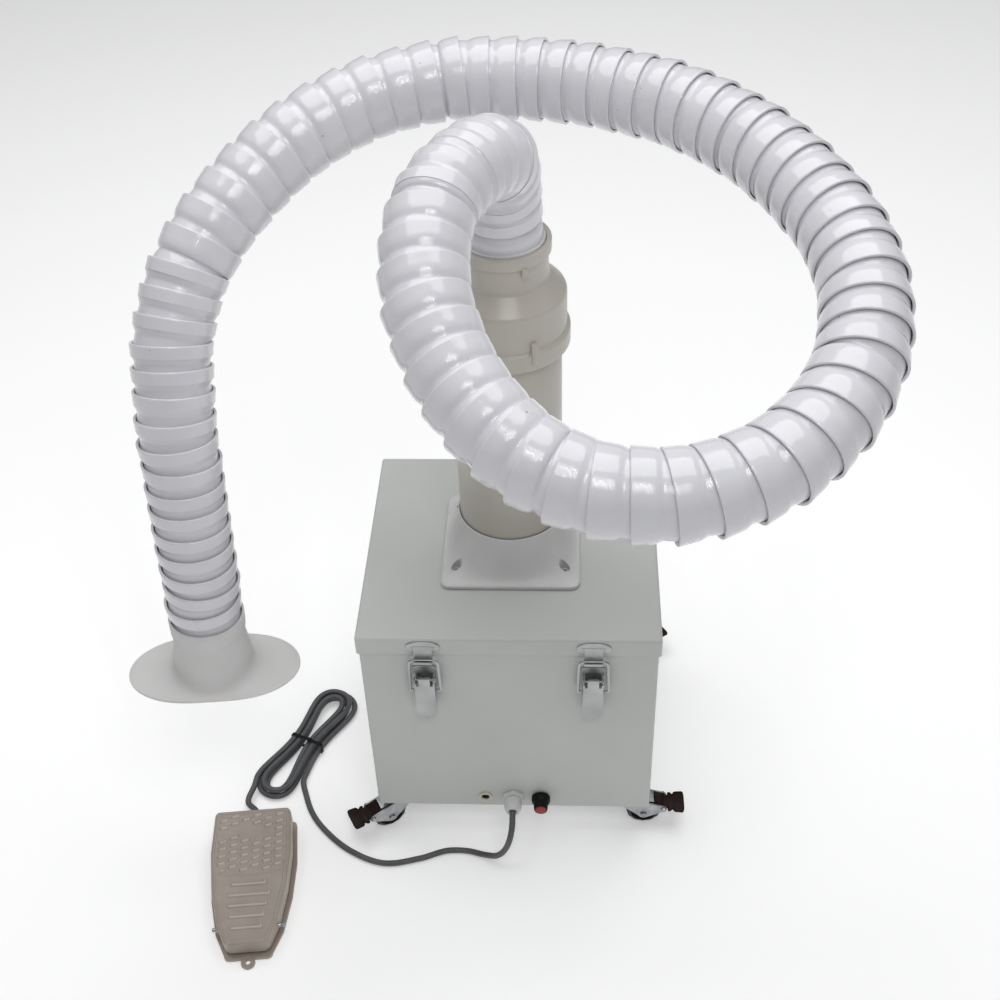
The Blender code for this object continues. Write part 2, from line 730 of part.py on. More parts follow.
def hinge_cabinet_leaf():
    near = BACK + SEAT_GAP
    top = HINGE_Z - HINGE_KNUCKLE_RADIUS - HINGE_STEP
    leaf = hinge_leaf("hinge_cabinet_leaf", 0, (near, top - HINGE_LEAF_HEIGHT), (near + HINGE_SHEET, top),
                      (near + HINGE_SHEET / 3, top - HINGE_STEP), (HINGE_Y, HINGE_Z - HINGE_STEP))
    pin = rod("pin", (-HINGE_WIDTH / 2 + SHEET, HINGE_Y, HINGE_Z), (HINGE_WIDTH / 2 - SHEET, HINGE_Y, HINGE_Z),
              HINGE_PIN_RADIUS, 6)
    return finish(join(leaf, pin), "hinge_cabinet_leaf", "zinc")


def hinge_lid_leaf():
    near = BACK + LID_OVERHANG + SEAT_GAP
    bottom = HINGE_Z + HINGE_KNUCKLE_RADIUS + HINGE_STEP
    leaf = hinge_leaf("hinge_lid_leaf", 1, (near, bottom), (near + HINGE_SHEET, bottom + HINGE_LEAF_HEIGHT),
                      (near + HINGE_SHEET / 3, HINGE_Z), (near + HINGE_SHEET * 2 / 3, bottom + HINGE_STEP))
    bore = rod("bore", (-HINGE_WIDTH / 2, HINGE_Y, HINGE_Z), (HINGE_WIDTH / 2, HINGE_Y, HINGE_Z),
               HINGE_PIN_RADIUS + HINGE_BORE_CLEARANCE, 6)
    return finish(cut(leaf, bore), "hinge_lid_leaf", "zinc")


def exhaust_grille():
    outlines = [rounded_rectangle(GRILLE_WIDTH / 2, GRILLE_HEIGHT / 2, CORNER_RADIUS, 2)]
    pitch = (GRILLE_HEIGHT - 2 * GRILLE_BORDER) / GRILLE_SLOTS
    for i in range(GRILLE_SLOTS):
        middle = (i + 0.5 - GRILLE_SLOTS / 2) * pitch
        half = pitch * GRILLE_SLOT_SHARE / 2
        slot = rounded_rectangle(GRILLE_WIDTH / 2 - GRILLE_BORDER - SHEET, half, half * 0.9, 1)
        outlines.append([(x, z + middle) for x, z in slot])
    place = Matrix.Translation((OUTLET_X, BACK + SEAT_GAP + GRILLE_SHEET / 2, GRILLE_Z)) @ across_y(0)
    return finish(plate("grille", outlines, GRILLE_SHEET, place), "exhaust_grille", "black_plastic")


# Front fittings are turned about Z and laid along -Y
def facing_front(x):
    return Matrix.Translation((x, FRONT, FITTING_HEIGHT)) @ Matrix.Rotation(math.pi / 2, 4, "X")


def power_jack():
    well = JACK_FACE - JACK_WELL_DEPTH
    profile = [(0, well), (JACK_WELL_RADIUS, well), (JACK_WELL_RADIUS, JACK_FACE),
               (JACK_RADIUS - JACK_FACE / 2, JACK_FACE), (JACK_RADIUS, JACK_FACE / 2),
               (JACK_RADIUS, SEAT_GAP), (JACK_BARREL_RADIUS, SEAT_GAP), (JACK_BARREL_RADIUS, -JACK_BARREL_DEPTH),
               (0, -JACK_BARREL_DEPTH)]
    jack = lathe("power_jack", profile, 12)
    for side in (-1, 1):
        x = side * JACK_SOCKET_SPACING / 2
        jack = cut(jack, rod("socket", (x, 0, -JACK_SOCKET_DEPTH), (x, 0, JACK_FACE), JACK_SOCKET_RADIUS, 6))
    return finish(moved(jack, facing_front(-FITTING_SPACING)), "power_jack", "white_plastic")


def cable_gland():
    bore = CABLE_RADIUS + SEAT_GAP
    nut_end = GLAND_LENGTH * 0.62
    profile = [(bore, GLAND_LENGTH), (GLAND_DOME_RADIUS, GLAND_LENGTH), (GLAND_NUT_RADIUS * 0.9, nut_end * 1.2),
               (GLAND_NUT_RADIUS, nut_end), (GLAND_NUT_RADIUS, GLAND_HEX_HEIGHT / 2),
               (GLAND_THREAD_RADIUS, GLAND_HEX_HEIGHT / 2), (GLAND_THREAD_RADIUS, -GLAND_THREAD_DEPTH),
               (bore, -GLAND_THREAD_DEPTH)]
    gland = lathe("cable_gland", profile, 12)
    corner = GLAND_HEX_WIDTH / math.sqrt(3)
    hexagon = plate("hexagon", [circle(corner, 6), circle(GLAND_THREAD_RADIUS * 0.8, 8)],
                    GLAND_HEX_HEIGHT - SEAT_GAP,
                    Matrix.Translation((0, 0, (GLAND_HEX_HEIGHT + SEAT_GAP) / 2)))
    gland = join(gland, hexagon)
    return finish(moved(gland, facing_front(0)), "cable_gland", "white_plastic")


def speed_knob():
    base = KNOB_WALL_GAP
    top = base + KNOB_LENGTH
    seat = top - KNOB_CAP_SEAT
    skirt = base + KNOB_SKIRT_HEIGHT
    bore = SHAFT_RADIUS + SEAT_GAP
    depth = SHAFT_OUT + SEAT_GAP
    cap = KNOB_CAP_RADIUS + SEAT_GAP
    profile = [(0, seat), (cap, seat), (cap, top), (KNOB_TOP_RADIUS, top), (KNOB_RADIUS, skirt),
               (KNOB_SKIRT_RADIUS, skirt), (KNOB_SKIRT_RADIUS, base), (bore, base), (bore, depth), (0, depth)]
    knob = lathe("speed_knob", profile, 16)
    for i in range(KNOB_GRIPS):
        turn = 2 * math.pi * (i + 0.5) / KNOB_GRIPS
        x, y = KNOB_RADIUS * math.cos(turn), KNOB_RADIUS * math.sin(turn)
        knob = cut(knob, rod("grip", (x, y, skirt + SEAT_GAP), (x, y, top + OVERCUT), KNOB_GRIP_RADIUS, 6))
    return finish(moved(knob, facing_front(FITTING_SPACING)), "speed_knob", "black_plastic")


def knob_cap():
    low = KNOB_WALL_GAP + KNOB_LENGTH - KNOB_CAP_SEAT + SEAT_GAP
    high = low + KNOB_CAP_HEIGHT
    profile = [(0, high), (KNOB_CAP_RADIUS * 0.8, high), (KNOB_CAP_RADIUS, high - KNOB_CAP_HEIGHT / 3),
               (KNOB_CAP_RADIUS, low), (0, low)]
    cap = lathe("knob_cap", profile, 12)
    return finish(moved(cap, facing_front(FITTING_SPACING)), "knob_cap", "red_plastic")


def control_board():
    """The board behind the knob, held by the potentiometer whose shaft passes the wall."""
    inner = -(SHEET + SEAT_GAP)
    profile = [(0, SHAFT_OUT), (SHAFT_RADIUS, SHAFT_OUT), (SHAFT_RADIUS, inner), (POT_RADIUS, inner),
               (POT_RADIUS, inner - POT_DEPTH), (0, inner - POT_DEPTH)]
    pot = lathe("control_board", profile, 12)
    back = inner - POT_DEPTH
    low = (-BOARD_WIDTH * 0.3, -BOARD_HEIGHT * 0.2, back - BOARD_SHEET)
    high = (BOARD_WIDTH * 0.7, BOARD_HEIGHT * 0.8, back + SEAT_GAP)
    board = join(pot, box("board", low, high))
    for share_x, share_y, share_size in ((0.15, 0.45, 0.16), (0.45, 0.50, 0.12), (0.55, 0.15, 0.10)):
        size = BOARD_WIDTH * share_size
        x, y = BOARD_WIDTH * share_x, BOARD_HEIGHT * share_y
        part = box("component", (x, y, back - BOARD_FOOT_DEPTH), (x + size, y + size, back - BOARD_SHEET / 2))
        board = join(board, part)
    return finish(moved(board, facing_front(FITTING_SPACING)), "control_board", "board")


# Toggle latches
def latch_base(name, x):
    back = FRONT - SEAT_GAP
    up, down = LATCH_BASE_UP, LATCH_BASE_DOWN
    middle = LATCH_PIN_HEIGHT + (up - down) / 2
    outline = rounded_rectangle(LATCH_BASE_WIDTH / 2, (up + down) / 2, LATCH_BASE_CORNER, 2)
    base = plate(name, [outline], LATCH_SHEET,
                 Matrix.Translation((x, back - LATCH_SHEET / 2, middle)) @ across_y(0))
    half = LATCH_SHEET / 2
    for side in (-1, 1):
        ear_x = x + side * LATCH_EAR_X
        ear = arc((LATCH_Y, LATCH_PIN_HEIGHT), LATCH_EAR_RADIUS, math.pi / 2, 1.5 * math.pi, 4)
        ear += [(back - half, LATCH_PIN_HEIGHT - LATCH_EAR_RADIUS), (back - half, LATCH_PIN_HEIGHT + LATCH_EAR_RADIUS)]
        base = join(base, plate("ear", [ear], LATCH_SHEET, across_x(ear_x)))
    reach = LEVER_WIDTH / 2 + LATCH_SHEET / 2
    pin = rod("pin", (x - reach, LATCH_Y, LATCH_PIN_HEIGHT), (x + reach, LATCH_Y, LATCH_PIN_HEIGHT),
              LATCH_PIN_RADIUS, 8)
    return finish(join(base, pin), name, "steel")


def latch_lever(name, x):
    half = LEVER_WIDTH / 2
    bottom = -LEVER_DOWN
    outline = [(half, LEVER_UP), (-half, LEVER_UP)]
    outline += arc((-half + LEVER_ROUND, bottom + LEVER_ROUND), LEVER_ROUND, math.pi, 1.5 * math.pi, 3)
    outline += arc((half - LEVER_ROUND, bottom + LEVER_ROUND), LEVER_ROUND, 1.5 * math.pi, 2 * math.pi, 3)
    pin = Vector((x, LATCH_Y, LATCH_PIN_HEIGHT))
    front = Matrix.Translation(pin + Vector((0, -LEVER_OUT + LATCH_SHEET / 2, 0))) @ across_y(0)
    lever = plate(name, [outline], LATCH_SHEET, front)
    side_outline = [(-LEVER_OUT + LATCH_SHEET / 2, LEVER_UP), (LEVER_IN, LEVER_UP),
                    (LEVER_IN, -LEVER_CHEEK_DOWN), (-LEVER_OUT + LATCH_SHEET / 2, -LEVER_CHEEK_TAPER)]
    for side in (-1, 1):
        cheek_x = side * (half - LATCH_SHEET / 2 - MERGE)
        cheek = plate("cheek", [list(reversed(side_outline))], LATCH_SHEET,
                      Matrix.Translation(pin + Vector((cheek_x, 0, 0))) @ across_x(0))
        lever = join(lever, cheek)
    for drop, radius in ((0.0, LATCH_PIN_RADIUS), (LOOP_DOWN, LOOP_WIRE_RADIUS)):
        ends = [pin + Vector((s * (half + OVERCUT), 0, -drop)) for s in (-1, 1)]
        lever = cut(lever, rod("bore", ends[0], ends[1], radius + LATCH_CLEARANCE, 6))
    return finish(lever, name, "steel")


def latch_loop(name, x):
    inner = LEVER_WIDTH / 2 - LATCH_SHEET - LATCH_CLEARANCE
    wide = LOOP_HALF_WIDTH
    corners = [(-inner, -LOOP_DOWN), (-wide, -LOOP_DOWN), (-wide, LOOP_UP), (wide, LOOP_UP),
               (wide, -LOOP_DOWN), (inner, -LOOP_DOWN)]
    points = [(x + u, LATCH_Y, LATCH_PIN_HEIGHT + w) for u, w in corners]
    path = rounded_path(points, LOOP_CORNER, 2)
    return finish(tube(name, path, LOOP_WIRE_RADIUS, 1), name, "steel")


def latch_catch(name, x):
    near = FRONT - LID_OVERHANG - SEAT_GAP
    out = near - LATCH_SHEET
    top = CABINET_HEIGHT - CATCH_TOP_DROP
    outline = rounded_rectangle(CATCH_WIDTH / 2, CATCH_HEIGHT / 2, CATCH_HEIGHT * 0.45)
    catch = plate(name, [outline], LATCH_SHEET,
                  Matrix.Translation((x, near - LATCH_SHEET / 2, top - CATCH_HEIGHT / 2)) @ across_y(0))
    bar = LATCH_PIN_HEIGHT + LOOP_UP
    trough = bar - LOOP_WIRE_RADIUS - LATCH_CLEARANCE
    bottom = trough - LATCH_SHEET
    lip_in = LATCH_Y - HOOK_ROOM
    lip_out = lip_in - LATCH_SHEET
    upper = top - CATCH_HEIGHT / 2
    c = HOOK_CHAMFER
    inset = MERGE
    profile = [(near - inset, upper), (near - inset, bottom + c), (near - inset - c, bottom), (lip_out + c, bottom),
               (lip_out, bottom + c), (lip_out, bar + HOOK_LIP), (lip_in, bar + HOOK_LIP), (lip_in, trough),
               (out + inset, trough), (out + inset, upper)]
    hook = plate("hook", [profile], HOOK_WIDTH, across_x(x))
    return finish(join(catch, hook), name, "steel")


# Duct on the lid
def rounded_square_ring(half, corner, count):
    """Points on a rounded square at equal angles from its centre."""
    ring = []
    flat = half - corner
    for i in range(count):
        turn = 2 * math.pi * i / count
        c, s = math.cos(turn), math.sin(turn)
        reach = half / max(abs(c), abs(s))
        x, y = reach * c, reach * s
        if abs(x) > flat and abs(y) > flat:
            dot = flat * (abs(c) + abs(s))
            reach = dot + math.sqrt(dot * dot - 2 * flat * flat + corner * corner)
            x, y = reach * c, reach * s
        ring.append((x, y))
    return ring


def duct_flange():
    count = FLANGE_SIDES
    bottom = CABINET_HEIGHT + SEAT_GAP
    half = FLANGE_SIDE / 2
    square = rounded_square_ring(half, FLANGE_CORNER, count)
    circle_ring = [(FLANGE_RIM_RADIUS * math.cos(2 * math.pi * i / count),
                    FLANGE_RIM_RADIUS * math.sin(2 * math.pi * i / count)) for i in range(count)]

    def blend(share, height, scale=1.0):
        return [(scale * ((1 - share) * a[0] + share * b[0]), scale * ((1 - share) * a[1] + share * b[1]), height)
                for a, b in zip(square, circle_ring)]

    def bored(height):
        radius = PIPE_RADIUS + SEAT_GAP
        return [(radius * math.cos(2 * math.pi * i / count), radius * math.sin(2 * math.pi * i / count), height)
                for i in range(count)]

    shrink = 1 - FLANGE_EDGE_ROUND / half
    plate_top = bottom + FLANGE_PLATE
    rings = [blend(0, bottom), blend(0, plate_top - FLANGE_EDGE_ROUND), blend(0, plate_top, shrink)]
    for share in FLANGE_CURVE_SHARES:
        turn = math.asin(share)
        rings.append(blend(share, plate_top + (FLANGE_RISE - FLANGE_PLATE) * (1 - math.cos(turn))))
    rings += [bored(bottom + FLANGE_RISE), bored(bottom)]
    flange = loft("duct_flange", rings)
    for sx in (-1, 1):
        for sy in (-1, 1):
            x, y = sx * FLANGE_HOLE_X, sy * FLANGE_HOLE_Y
            flange = cut(flange, rod("counterbore", (x, y, plate_top - FLANGE_EDGE_ROUND),
                                     (x, y, bottom + FLANGE_RISE), FLANGE_COUNTERBORE_RADIUS, 8),
                         rod("screw_hole", (x, y, bottom - OVERCUT), (x, y, plate_top), FLANGE_SCREW_RADIUS, 6))
    return finish(flange, "duct_flange", "white_plastic")


def duct_pipe():
    inner = PIPE_RADIUS - PIPE_WALL
    profile = [(PIPE_RADIUS, PIPE_TOP), (PIPE_RADIUS, PIPE_BOTTOM), (inner, PIPE_BOTTOM), (inner, PIPE_TOP)]
    return finish(lathe("duct_pipe", profile, PIPE_SIDES), "duct_pipe", "cream_plastic")


def reducer():
    socket = PIPE_RADIUS + SEAT_GAP
    seat = COLLAR_RADIUS + COLLAR_CLEARANCE
    rim_top = REDUCER_BOTTOM + REDUCER_RIM_HEIGHT
    edge = REDUCER_EDGE
    shoulder = socket - REDUCER_SHOULDER_WIDTH
    ledge = seat - REDUCER_LEDGE_WIDTH
    profile = [(REDUCER_COLLAR_RADIUS, REDUCER_TOP),
               (REDUCER_COLLAR_RADIUS, REDUCER_COLLAR_RIM), (REDUCER_NECK_RADIUS, REDUCER_COLLAR_RIM),
               (REDUCER_NECK_RADIUS, REDUCER_CONE_TOP), (REDUCER_BODY_RADIUS, REDUCER_BODY_TOP),
               (REDUCER_BODY_RADIUS, rim_top + edge), (REDUCER_RIM_RADIUS, rim_top - edge),
               (REDUCER_RIM_RADIUS, REDUCER_BOTTOM),
               (socket, REDUCER_BOTTOM), (socket, REDUCER_SHOULDER), (shoulder, REDUCER_SHOULDER),
               (shoulder, REDUCER_BODY_TOP - REDUCER_SHOULDER_WIDTH), (ledge, REDUCER_CONE_TOP - edge),
               (ledge, REDUCER_LEDGE), (seat, REDUCER_LEDGE), (seat, REDUCER_TOP)]
    body = lathe("reducer", profile, PIPE_SIDES)
    for radius, middle in ((REDUCER_RIM_RADIUS, REDUCER_BOTTOM + REDUCER_RIM_HEIGHT / 2),
                           (REDUCER_NECK_RADIUS + LUG_OUT, REDUCER_COLLAR_RIM)):
        low = (radius - 2 * edge, -LUG_WIDTH / 2, middle - LUG_HEIGHT / 2)
        lug = box("lug", low, (radius + LUG_OUT, LUG_WIDTH / 2, middle + LUG_HEIGHT / 2))
        body = join(body, moved(lug, Matrix.Rotation(LUG_TURN, 4, "Z")))
    return finish(body, "reducer", "cream_plastic")


# The arm's centre line
def clamped_spline(points, samples):
    """A cubic B-spline that starts and ends at its outer control points."""
    degree = 3
    spans = len(points) - degree
    knots = [0.0] * degree + list(np.linspace(0.0, 1.0, spans + 1)) + [1.0] * degree
    path = []
    for t in np.linspace(0.0, 1.0, samples):
        span = min(int(t * spans), spans - 1) + degree
        work = [Vector(points[span - degree + i]) for i in range(degree + 1)]
        for level in range(1, degree + 1):
            for i in range(degree, level - 1, -1):
                low, high = knots[span - degree + i], knots[span + 1 + i - level]
                share = (t - low) / (high - low)
                work[i] = (1 - share) * work[i - 1] + share * work[i]
        path.append(work[degree])
    return path


class Route:
    """A path by arc length, with a frame carried along it without twist."""

    def __init__(self, points):
        self.places = np.array([tuple(p) for p in points])
        steps = np.diff(self.places, axis=0)
        self.lengths = np.concatenate([[0.0], np.cumsum(np.linalg.norm(steps, axis=1))])
        tangents = np.gradient(self.places, axis=0)
        self.tangents = tangents / np.linalg.norm(tangents, axis=1)[:, None]
        side = np.array((1.0, 0.0, 0.0))
        sides = []
        for tangent in self.tangents:
            side = side - tangent * side.dot(tangent)
            side = side / np.linalg.norm(side)
            sides.append(side)
        self.sides = np.array(sides)

    @property
    def length(self):
        return float(self.lengths[-1])

    def read(self, table, distance):
        return Vector([float(np.interp(distance, self.lengths, table[:, i])) for i in range(3)])

    def frame(self, distance):
        """Local X, Y across the path and Z along it, with the path's point as origin."""
        along = self.read(self.tangents, distance).normalized()
        side = self.read(self.sides, distance)
        side = (side - along * side.dot(along)).normalized()
        up = along.cross(side)
        matrix = Matrix((side, up, along)).transposed().to_4x4()
        matrix.translation = self.read(self.places, distance)
        return matrix


def arm_route():
    start = Vector((0, 0, COLLAR_TOP))
    points = [start + ARM_REACH * Vector(share) for share in ARM_ROUTE_SHARES]
    return Route(clamped_spline(points, 1600))


def joint_distances(route):
    """How far along the arm each of its joints lies, the hood's last."""
    return list(np.cumsum(SECTION_LENGTHS)) + [route.length]


def sphere_radius(radius, along):
    return math.sqrt(radius * radius - along * along)


def section_profile(start, end, cups, first):
    """The turned outline of one run of cups, from its hood end back to its cabinet end."""
    mouth = start if first else start - MOUTH_BACK
    pitch = (end - MOUTH_BACK - mouth) / cups
    rims = [mouth + pitch * i for i in range(cups)]
    outer = [(CUP_WIDE_RADIUS, rims[0])]
    if not first:
        outer.append((SOCKET_COVER_RADIUS, start + SOCKET_COVER))
    for rim in rims[1:]:
        outer += [(CUP_NARROW_RADIUS, rim - CUP_STEP), (CUP_WIDE_RADIUS, rim)]
    outer += [(NECK_RADIUS, end - NECK_BACK), (sphere_radius(BALL_RADIUS, MOUTH_BACK), end - MOUTH_BACK),
              (BALL_RADIUS, end), (sphere_radius(BALL_RADIUS, BALL_TIP), end + BALL_TIP)]
    inner = [(HOSE_BORE_RADIUS, end + BALL_TIP), (HOSE_BORE_RADIUS, end - NECK_BACK)]
    inner += [(HOSE_BORE_RADIUS, rim) for rim in reversed(rims[3::3])]
    if first:
        inner += [(HOSE_BORE_RADIUS, rims[1]), (HOSE_BORE_RADIUS, mouth - STUB_LENGTH),
                  (STUB_RADIUS, mouth - STUB_LENGTH), (STUB_RADIUS, rims[0])]
    else:
        inner += socket_profile(start)
    return list(reversed(outer)) + list(reversed(inner))


def socket_profile(centre):
    """The ball's seat, from the bore back to the mouth."""
    deep = math.sqrt(SOCKET_RADIUS ** 2 - HOSE_BORE_RADIUS ** 2)
    return [(sphere_radius(SOCKET_RADIUS, deep * share), centre + deep * share) for share in (1.0, 0.75, 0.42, 0.0)] \
        + [(sphere_radius(SOCKET_RADIUS, MOUTH_BACK), centre - MOUTH_BACK)]


def bent(obj, route, start, end):
    """Carries a piece turned about Z onto the route. Near its joints it stays straight."""
    frames = {}
    for vertex in obj.data.vertices:
        distance = vertex.co.z
        base = distance
        if distance < start + JOINT_REACH:
            base = start
        elif distance > end - NECK_BACK - CUP_STEP:
            base = end
        if base not in frames:
            frames[base] = route.frame(base)
        vertex.co = frames[base] @ Vector((vertex.co.x, vertex.co.y, distance - base))
    return obj


def arm_section(number, route):
    stops = [0.0] + joint_distances(route)
    start, end = stops[number - 1], stops[number]
    profile = section_profile(start, end, SECTION_CUPS[number - 1], number == 1)
    name = "arm_section_%d" % number
    return finish(bent(lathe(name, profile, HOSE_SIDES), route, start, end), name, "gloss_white")


def arm_collar():
    inner = COLLAR_RADIUS - COLLAR_WALL
    bottom = REDUCER_LEDGE + SEAT_GAP
    top = COLLAR_TOP - SEAT_GAP
    profile = [(inner, top), (COLLAR_RADIUS, top), (COLLAR_RADIUS, bottom), (inner, bottom)]
    return finish(lathe("arm_collar", profile, PIPE_SIDES), "arm_collar", "white_plastic")


def hood(route):
    """Ball seat, neck and oval plate, drawn along the last cup's own axis."""
    frame = route.frame(route.length)
    along = frame.col[2].xyz.normalized()
    side = Vector((math.cos(HOOD_TURN), math.sin(HOOD_TURN), 0))
    side = (side - along * side.dot(along)).normalized()
    basis = Matrix((side, along.cross(side), along)).transposed().to_4x4()
    basis.translation = frame.translation
    count = HOOD_SIDES

    def ring(radius, depth, oval=0.0):
        points = []
        for i in range(count):
            turn = 2 * math.pi * i / count
            c, s = math.cos(turn), math.sin(turn)
            stretch = (HOOD_HALF_WIDTH - HOOD_HALF_DEPTH) * math.copysign(abs(c) ** HOOD_OVAL_POWER, c)
            x = (1 - oval) * radius * c + oval * (HOOD_HALF_DEPTH * c + stretch)
            y = (1 - oval) * radius * s + oval * HOOD_HALF_DEPTH * s
            points.append(basis @ Vector((x, y, depth)))
        return points

    top = HOOD_LENGTH - HOOD_PLATE
    rings = [ring(CUP_WIDE_RADIUS, -MOUTH_BACK), ring(CUP_WIDE_RADIUS, HOOD_WAIST),
             ring(HOOD_NECK_RADIUS, HOOD_WAIST + CUP_STEP), ring(HOOD_FLARE_RADIUS, HOOD_FLARE)]
    for share in HOOD_CURVE_SHARES:
        depth = HOOD_FLARE + (top - HOOD_FLARE) * math.sin(math.acos(1 - share))
        rings.append(ring(HOOD_FLARE_RADIUS, depth, share * share))
    rings += [ring(0, top, 1.0), ring(0, HOOD_LENGTH, 1.0), ring(HOOD_MOUTH_RADIUS, HOOD_LENGTH),
              ring(HOOD_BORE_RADIUS, HOOD_FLARE)]
    rings += [ring(r, z) for r, z in socket_profile(0.0)]
    print("hood rim at %s" % " ".join("%.5f" % v for v in basis @ Vector((HOOD_RIM_POINT, 0, HOOD_LENGTH))))
    print("hood rim faces %s" % " ".join("%.5f" % v for v in along))
    return finish(loft("hood", rings), "hood", "white_plastic")


# Filters and fan
def fan_deck():
    half_x = CABINET_WIDTH / 2 - SHEET - SEAT_GAP
    half_y = CABINET_DEPTH / 2 - SHEET - SEAT_GAP
    deck = box("fan_deck", (-half_x, -half_y, DECK_TOP - SHEET), (half_x, half_y, DECK_TOP))
    for side in (-1, 1):
        edges = sorted((side * half_x, side * (half_x - SHEET)))
        flap = box("flap", (edges[0], -half_y, DECK_TOP - DECK_EDGE), (edges[1], half_y, DECK_TOP - SHEET / 2))
        deck = join(deck, flap)
    hole = rod("hole", (BLOWER_X, BLOWER_Y, DECK_TOP - OVERCUT), (BLOWER_X, BLOWER_Y, DECK_TOP + OVERCUT),
               DECK_HOLE_RADIUS, 12)
    return finish(cut(deck, hole), "fan_deck", "cabinet_paint")


def filter_cartridge():
    """A frame round a pack of pleated paper."""
    low = DECK_TOP + SEAT_GAP
    high = low + CARTRIDGE_HEIGHT
    half_x, half_y, wall = CARTRIDGE_WIDTH / 2, CARTRIDGE_DEPTH / 2, CARTRIDGE_FRAME
    outlines = [rounded_rectangle(half_x, half_y, wall / 2, 2),
                rounded_rectangle(half_x - wall, half_y - wall, wall / 4, 1)]
    frame = plate("frame", outlines, CARTRIDGE_HEIGHT, Matrix.Translation((0, 0, (low + high) / 2)))
    margin = CARTRIDGE_HEIGHT * (1 - CARTRIDGE_PACK_SHARE) / 2
    bottom, top = low + margin, high - margin
    reach = half_x - wall / 2
    pitch = 2 * reach / CARTRIDGE_PLEATS
    upper, lower = [], []
    for i in range(2 * CARTRIDGE_PLEATS + 1):
        x = -reach + i * pitch / 2
        crest = top if i % 2 else bottom + CARTRIDGE_PAPER
        upper.append((x, crest))
        lower.append((x, crest - CARTRIDGE_PAPER * 3))
    lower = [(x, max(z, bottom)) for x, z in lower]
    pack = plate("pack", [list(reversed(upper)) + lower], CARTRIDGE_DEPTH - wall, across_y(0))
    return finish(join(frame, pack), "filter_cartridge", "filter_paper")


def prefilter():
    low = DECK_TOP + CARTRIDGE_HEIGHT + 2 * SEAT_GAP
    half_x, half_y = CARTRIDGE_WIDTH / 2, CARTRIDGE_DEPTH / 2
    pad = box("prefilter", (-half_x, -half_y, low), (half_x, half_y, low + PREFILTER_HEIGHT), PREFILTER_CORNER)
    return finish(pad, "prefilter", "foam")


def scroll_outline(offset, outlet_end):
    """The blower's spiral wall and its outlet towards the back."""
    points = []
    for i in range(SCROLL_POINTS + 1):
        share = i / SCROLL_POINTS
        turn = 2 * math.pi * share
        radius = SCROLL_START_RADIUS + (SCROLL_END_RADIUS - SCROLL_START_RADIUS) * share - offset
        points.append((BLOWER_X + radius * math.cos(turn - 2 * math.pi), BLOWER_Y + radius * math.sin(turn)))
    inner_x = BLOWER_X + SCROLL_END_RADIUS - OUTLET_WIDTH + offset
    outer = [p for p in points[1:] if p[1] < BLOWER_Y + MERGE or p[0] < inner_x]
    outer_x = BLOWER_X + SCROLL_END_RADIUS - offset
    return outer + [(outer_x, outlet_end), (inner_x, outlet_end)]


def blower_housing():
    outlet_end = BACK - SHEET - SEAT_GAP
    middle = (BLOWER_TOP + BLOWER_BOTTOM) / 2
    shell = plate("blower_housing", [scroll_outline(0.0, outlet_end)], BLOWER_HEIGHT,
                  Matrix.Translation((0, 0, middle)))
    cavity = plate("cavity", [scroll_outline(BLOWER_WALL, outlet_end + OVERCUT)], BLOWER_HEIGHT - 2 * BLOWER_WALL,
                   Matrix.Translation((0, 0, middle)))
    inlet = rod("inlet", (BLOWER_X, BLOWER_Y, BLOWER_TOP - BLOWER_WALL - OVERCUT),
                (BLOWER_X, BLOWER_Y, BLOWER_TOP + OVERCUT), BLOWER_INLET_RADIUS, 12)
    shell = cut(shell, cavity, inlet)
    floor = BLOWER_BOTTOM + BLOWER_WALL / 2
    motor_top = BLOWER_BOTTOM + BLOWER_WALL + MOTOR_HEIGHT
    shaft_top = motor_top + IMPELLER_HEIGHT / 2
    profile = [(0, shaft_top), (MOTOR_SHAFT_RADIUS, shaft_top), (MOTOR_SHAFT_RADIUS, motor_top),
               (MOTOR_RADIUS, motor_top), (MOTOR_RADIUS, floor), (0, floor)]
    motor = moved(lathe("motor", profile, 12), Matrix.Translation((BLOWER_X, BLOWER_Y, 0)))
    return finish(join(shell, motor), "blower_housing", "black_plastic")


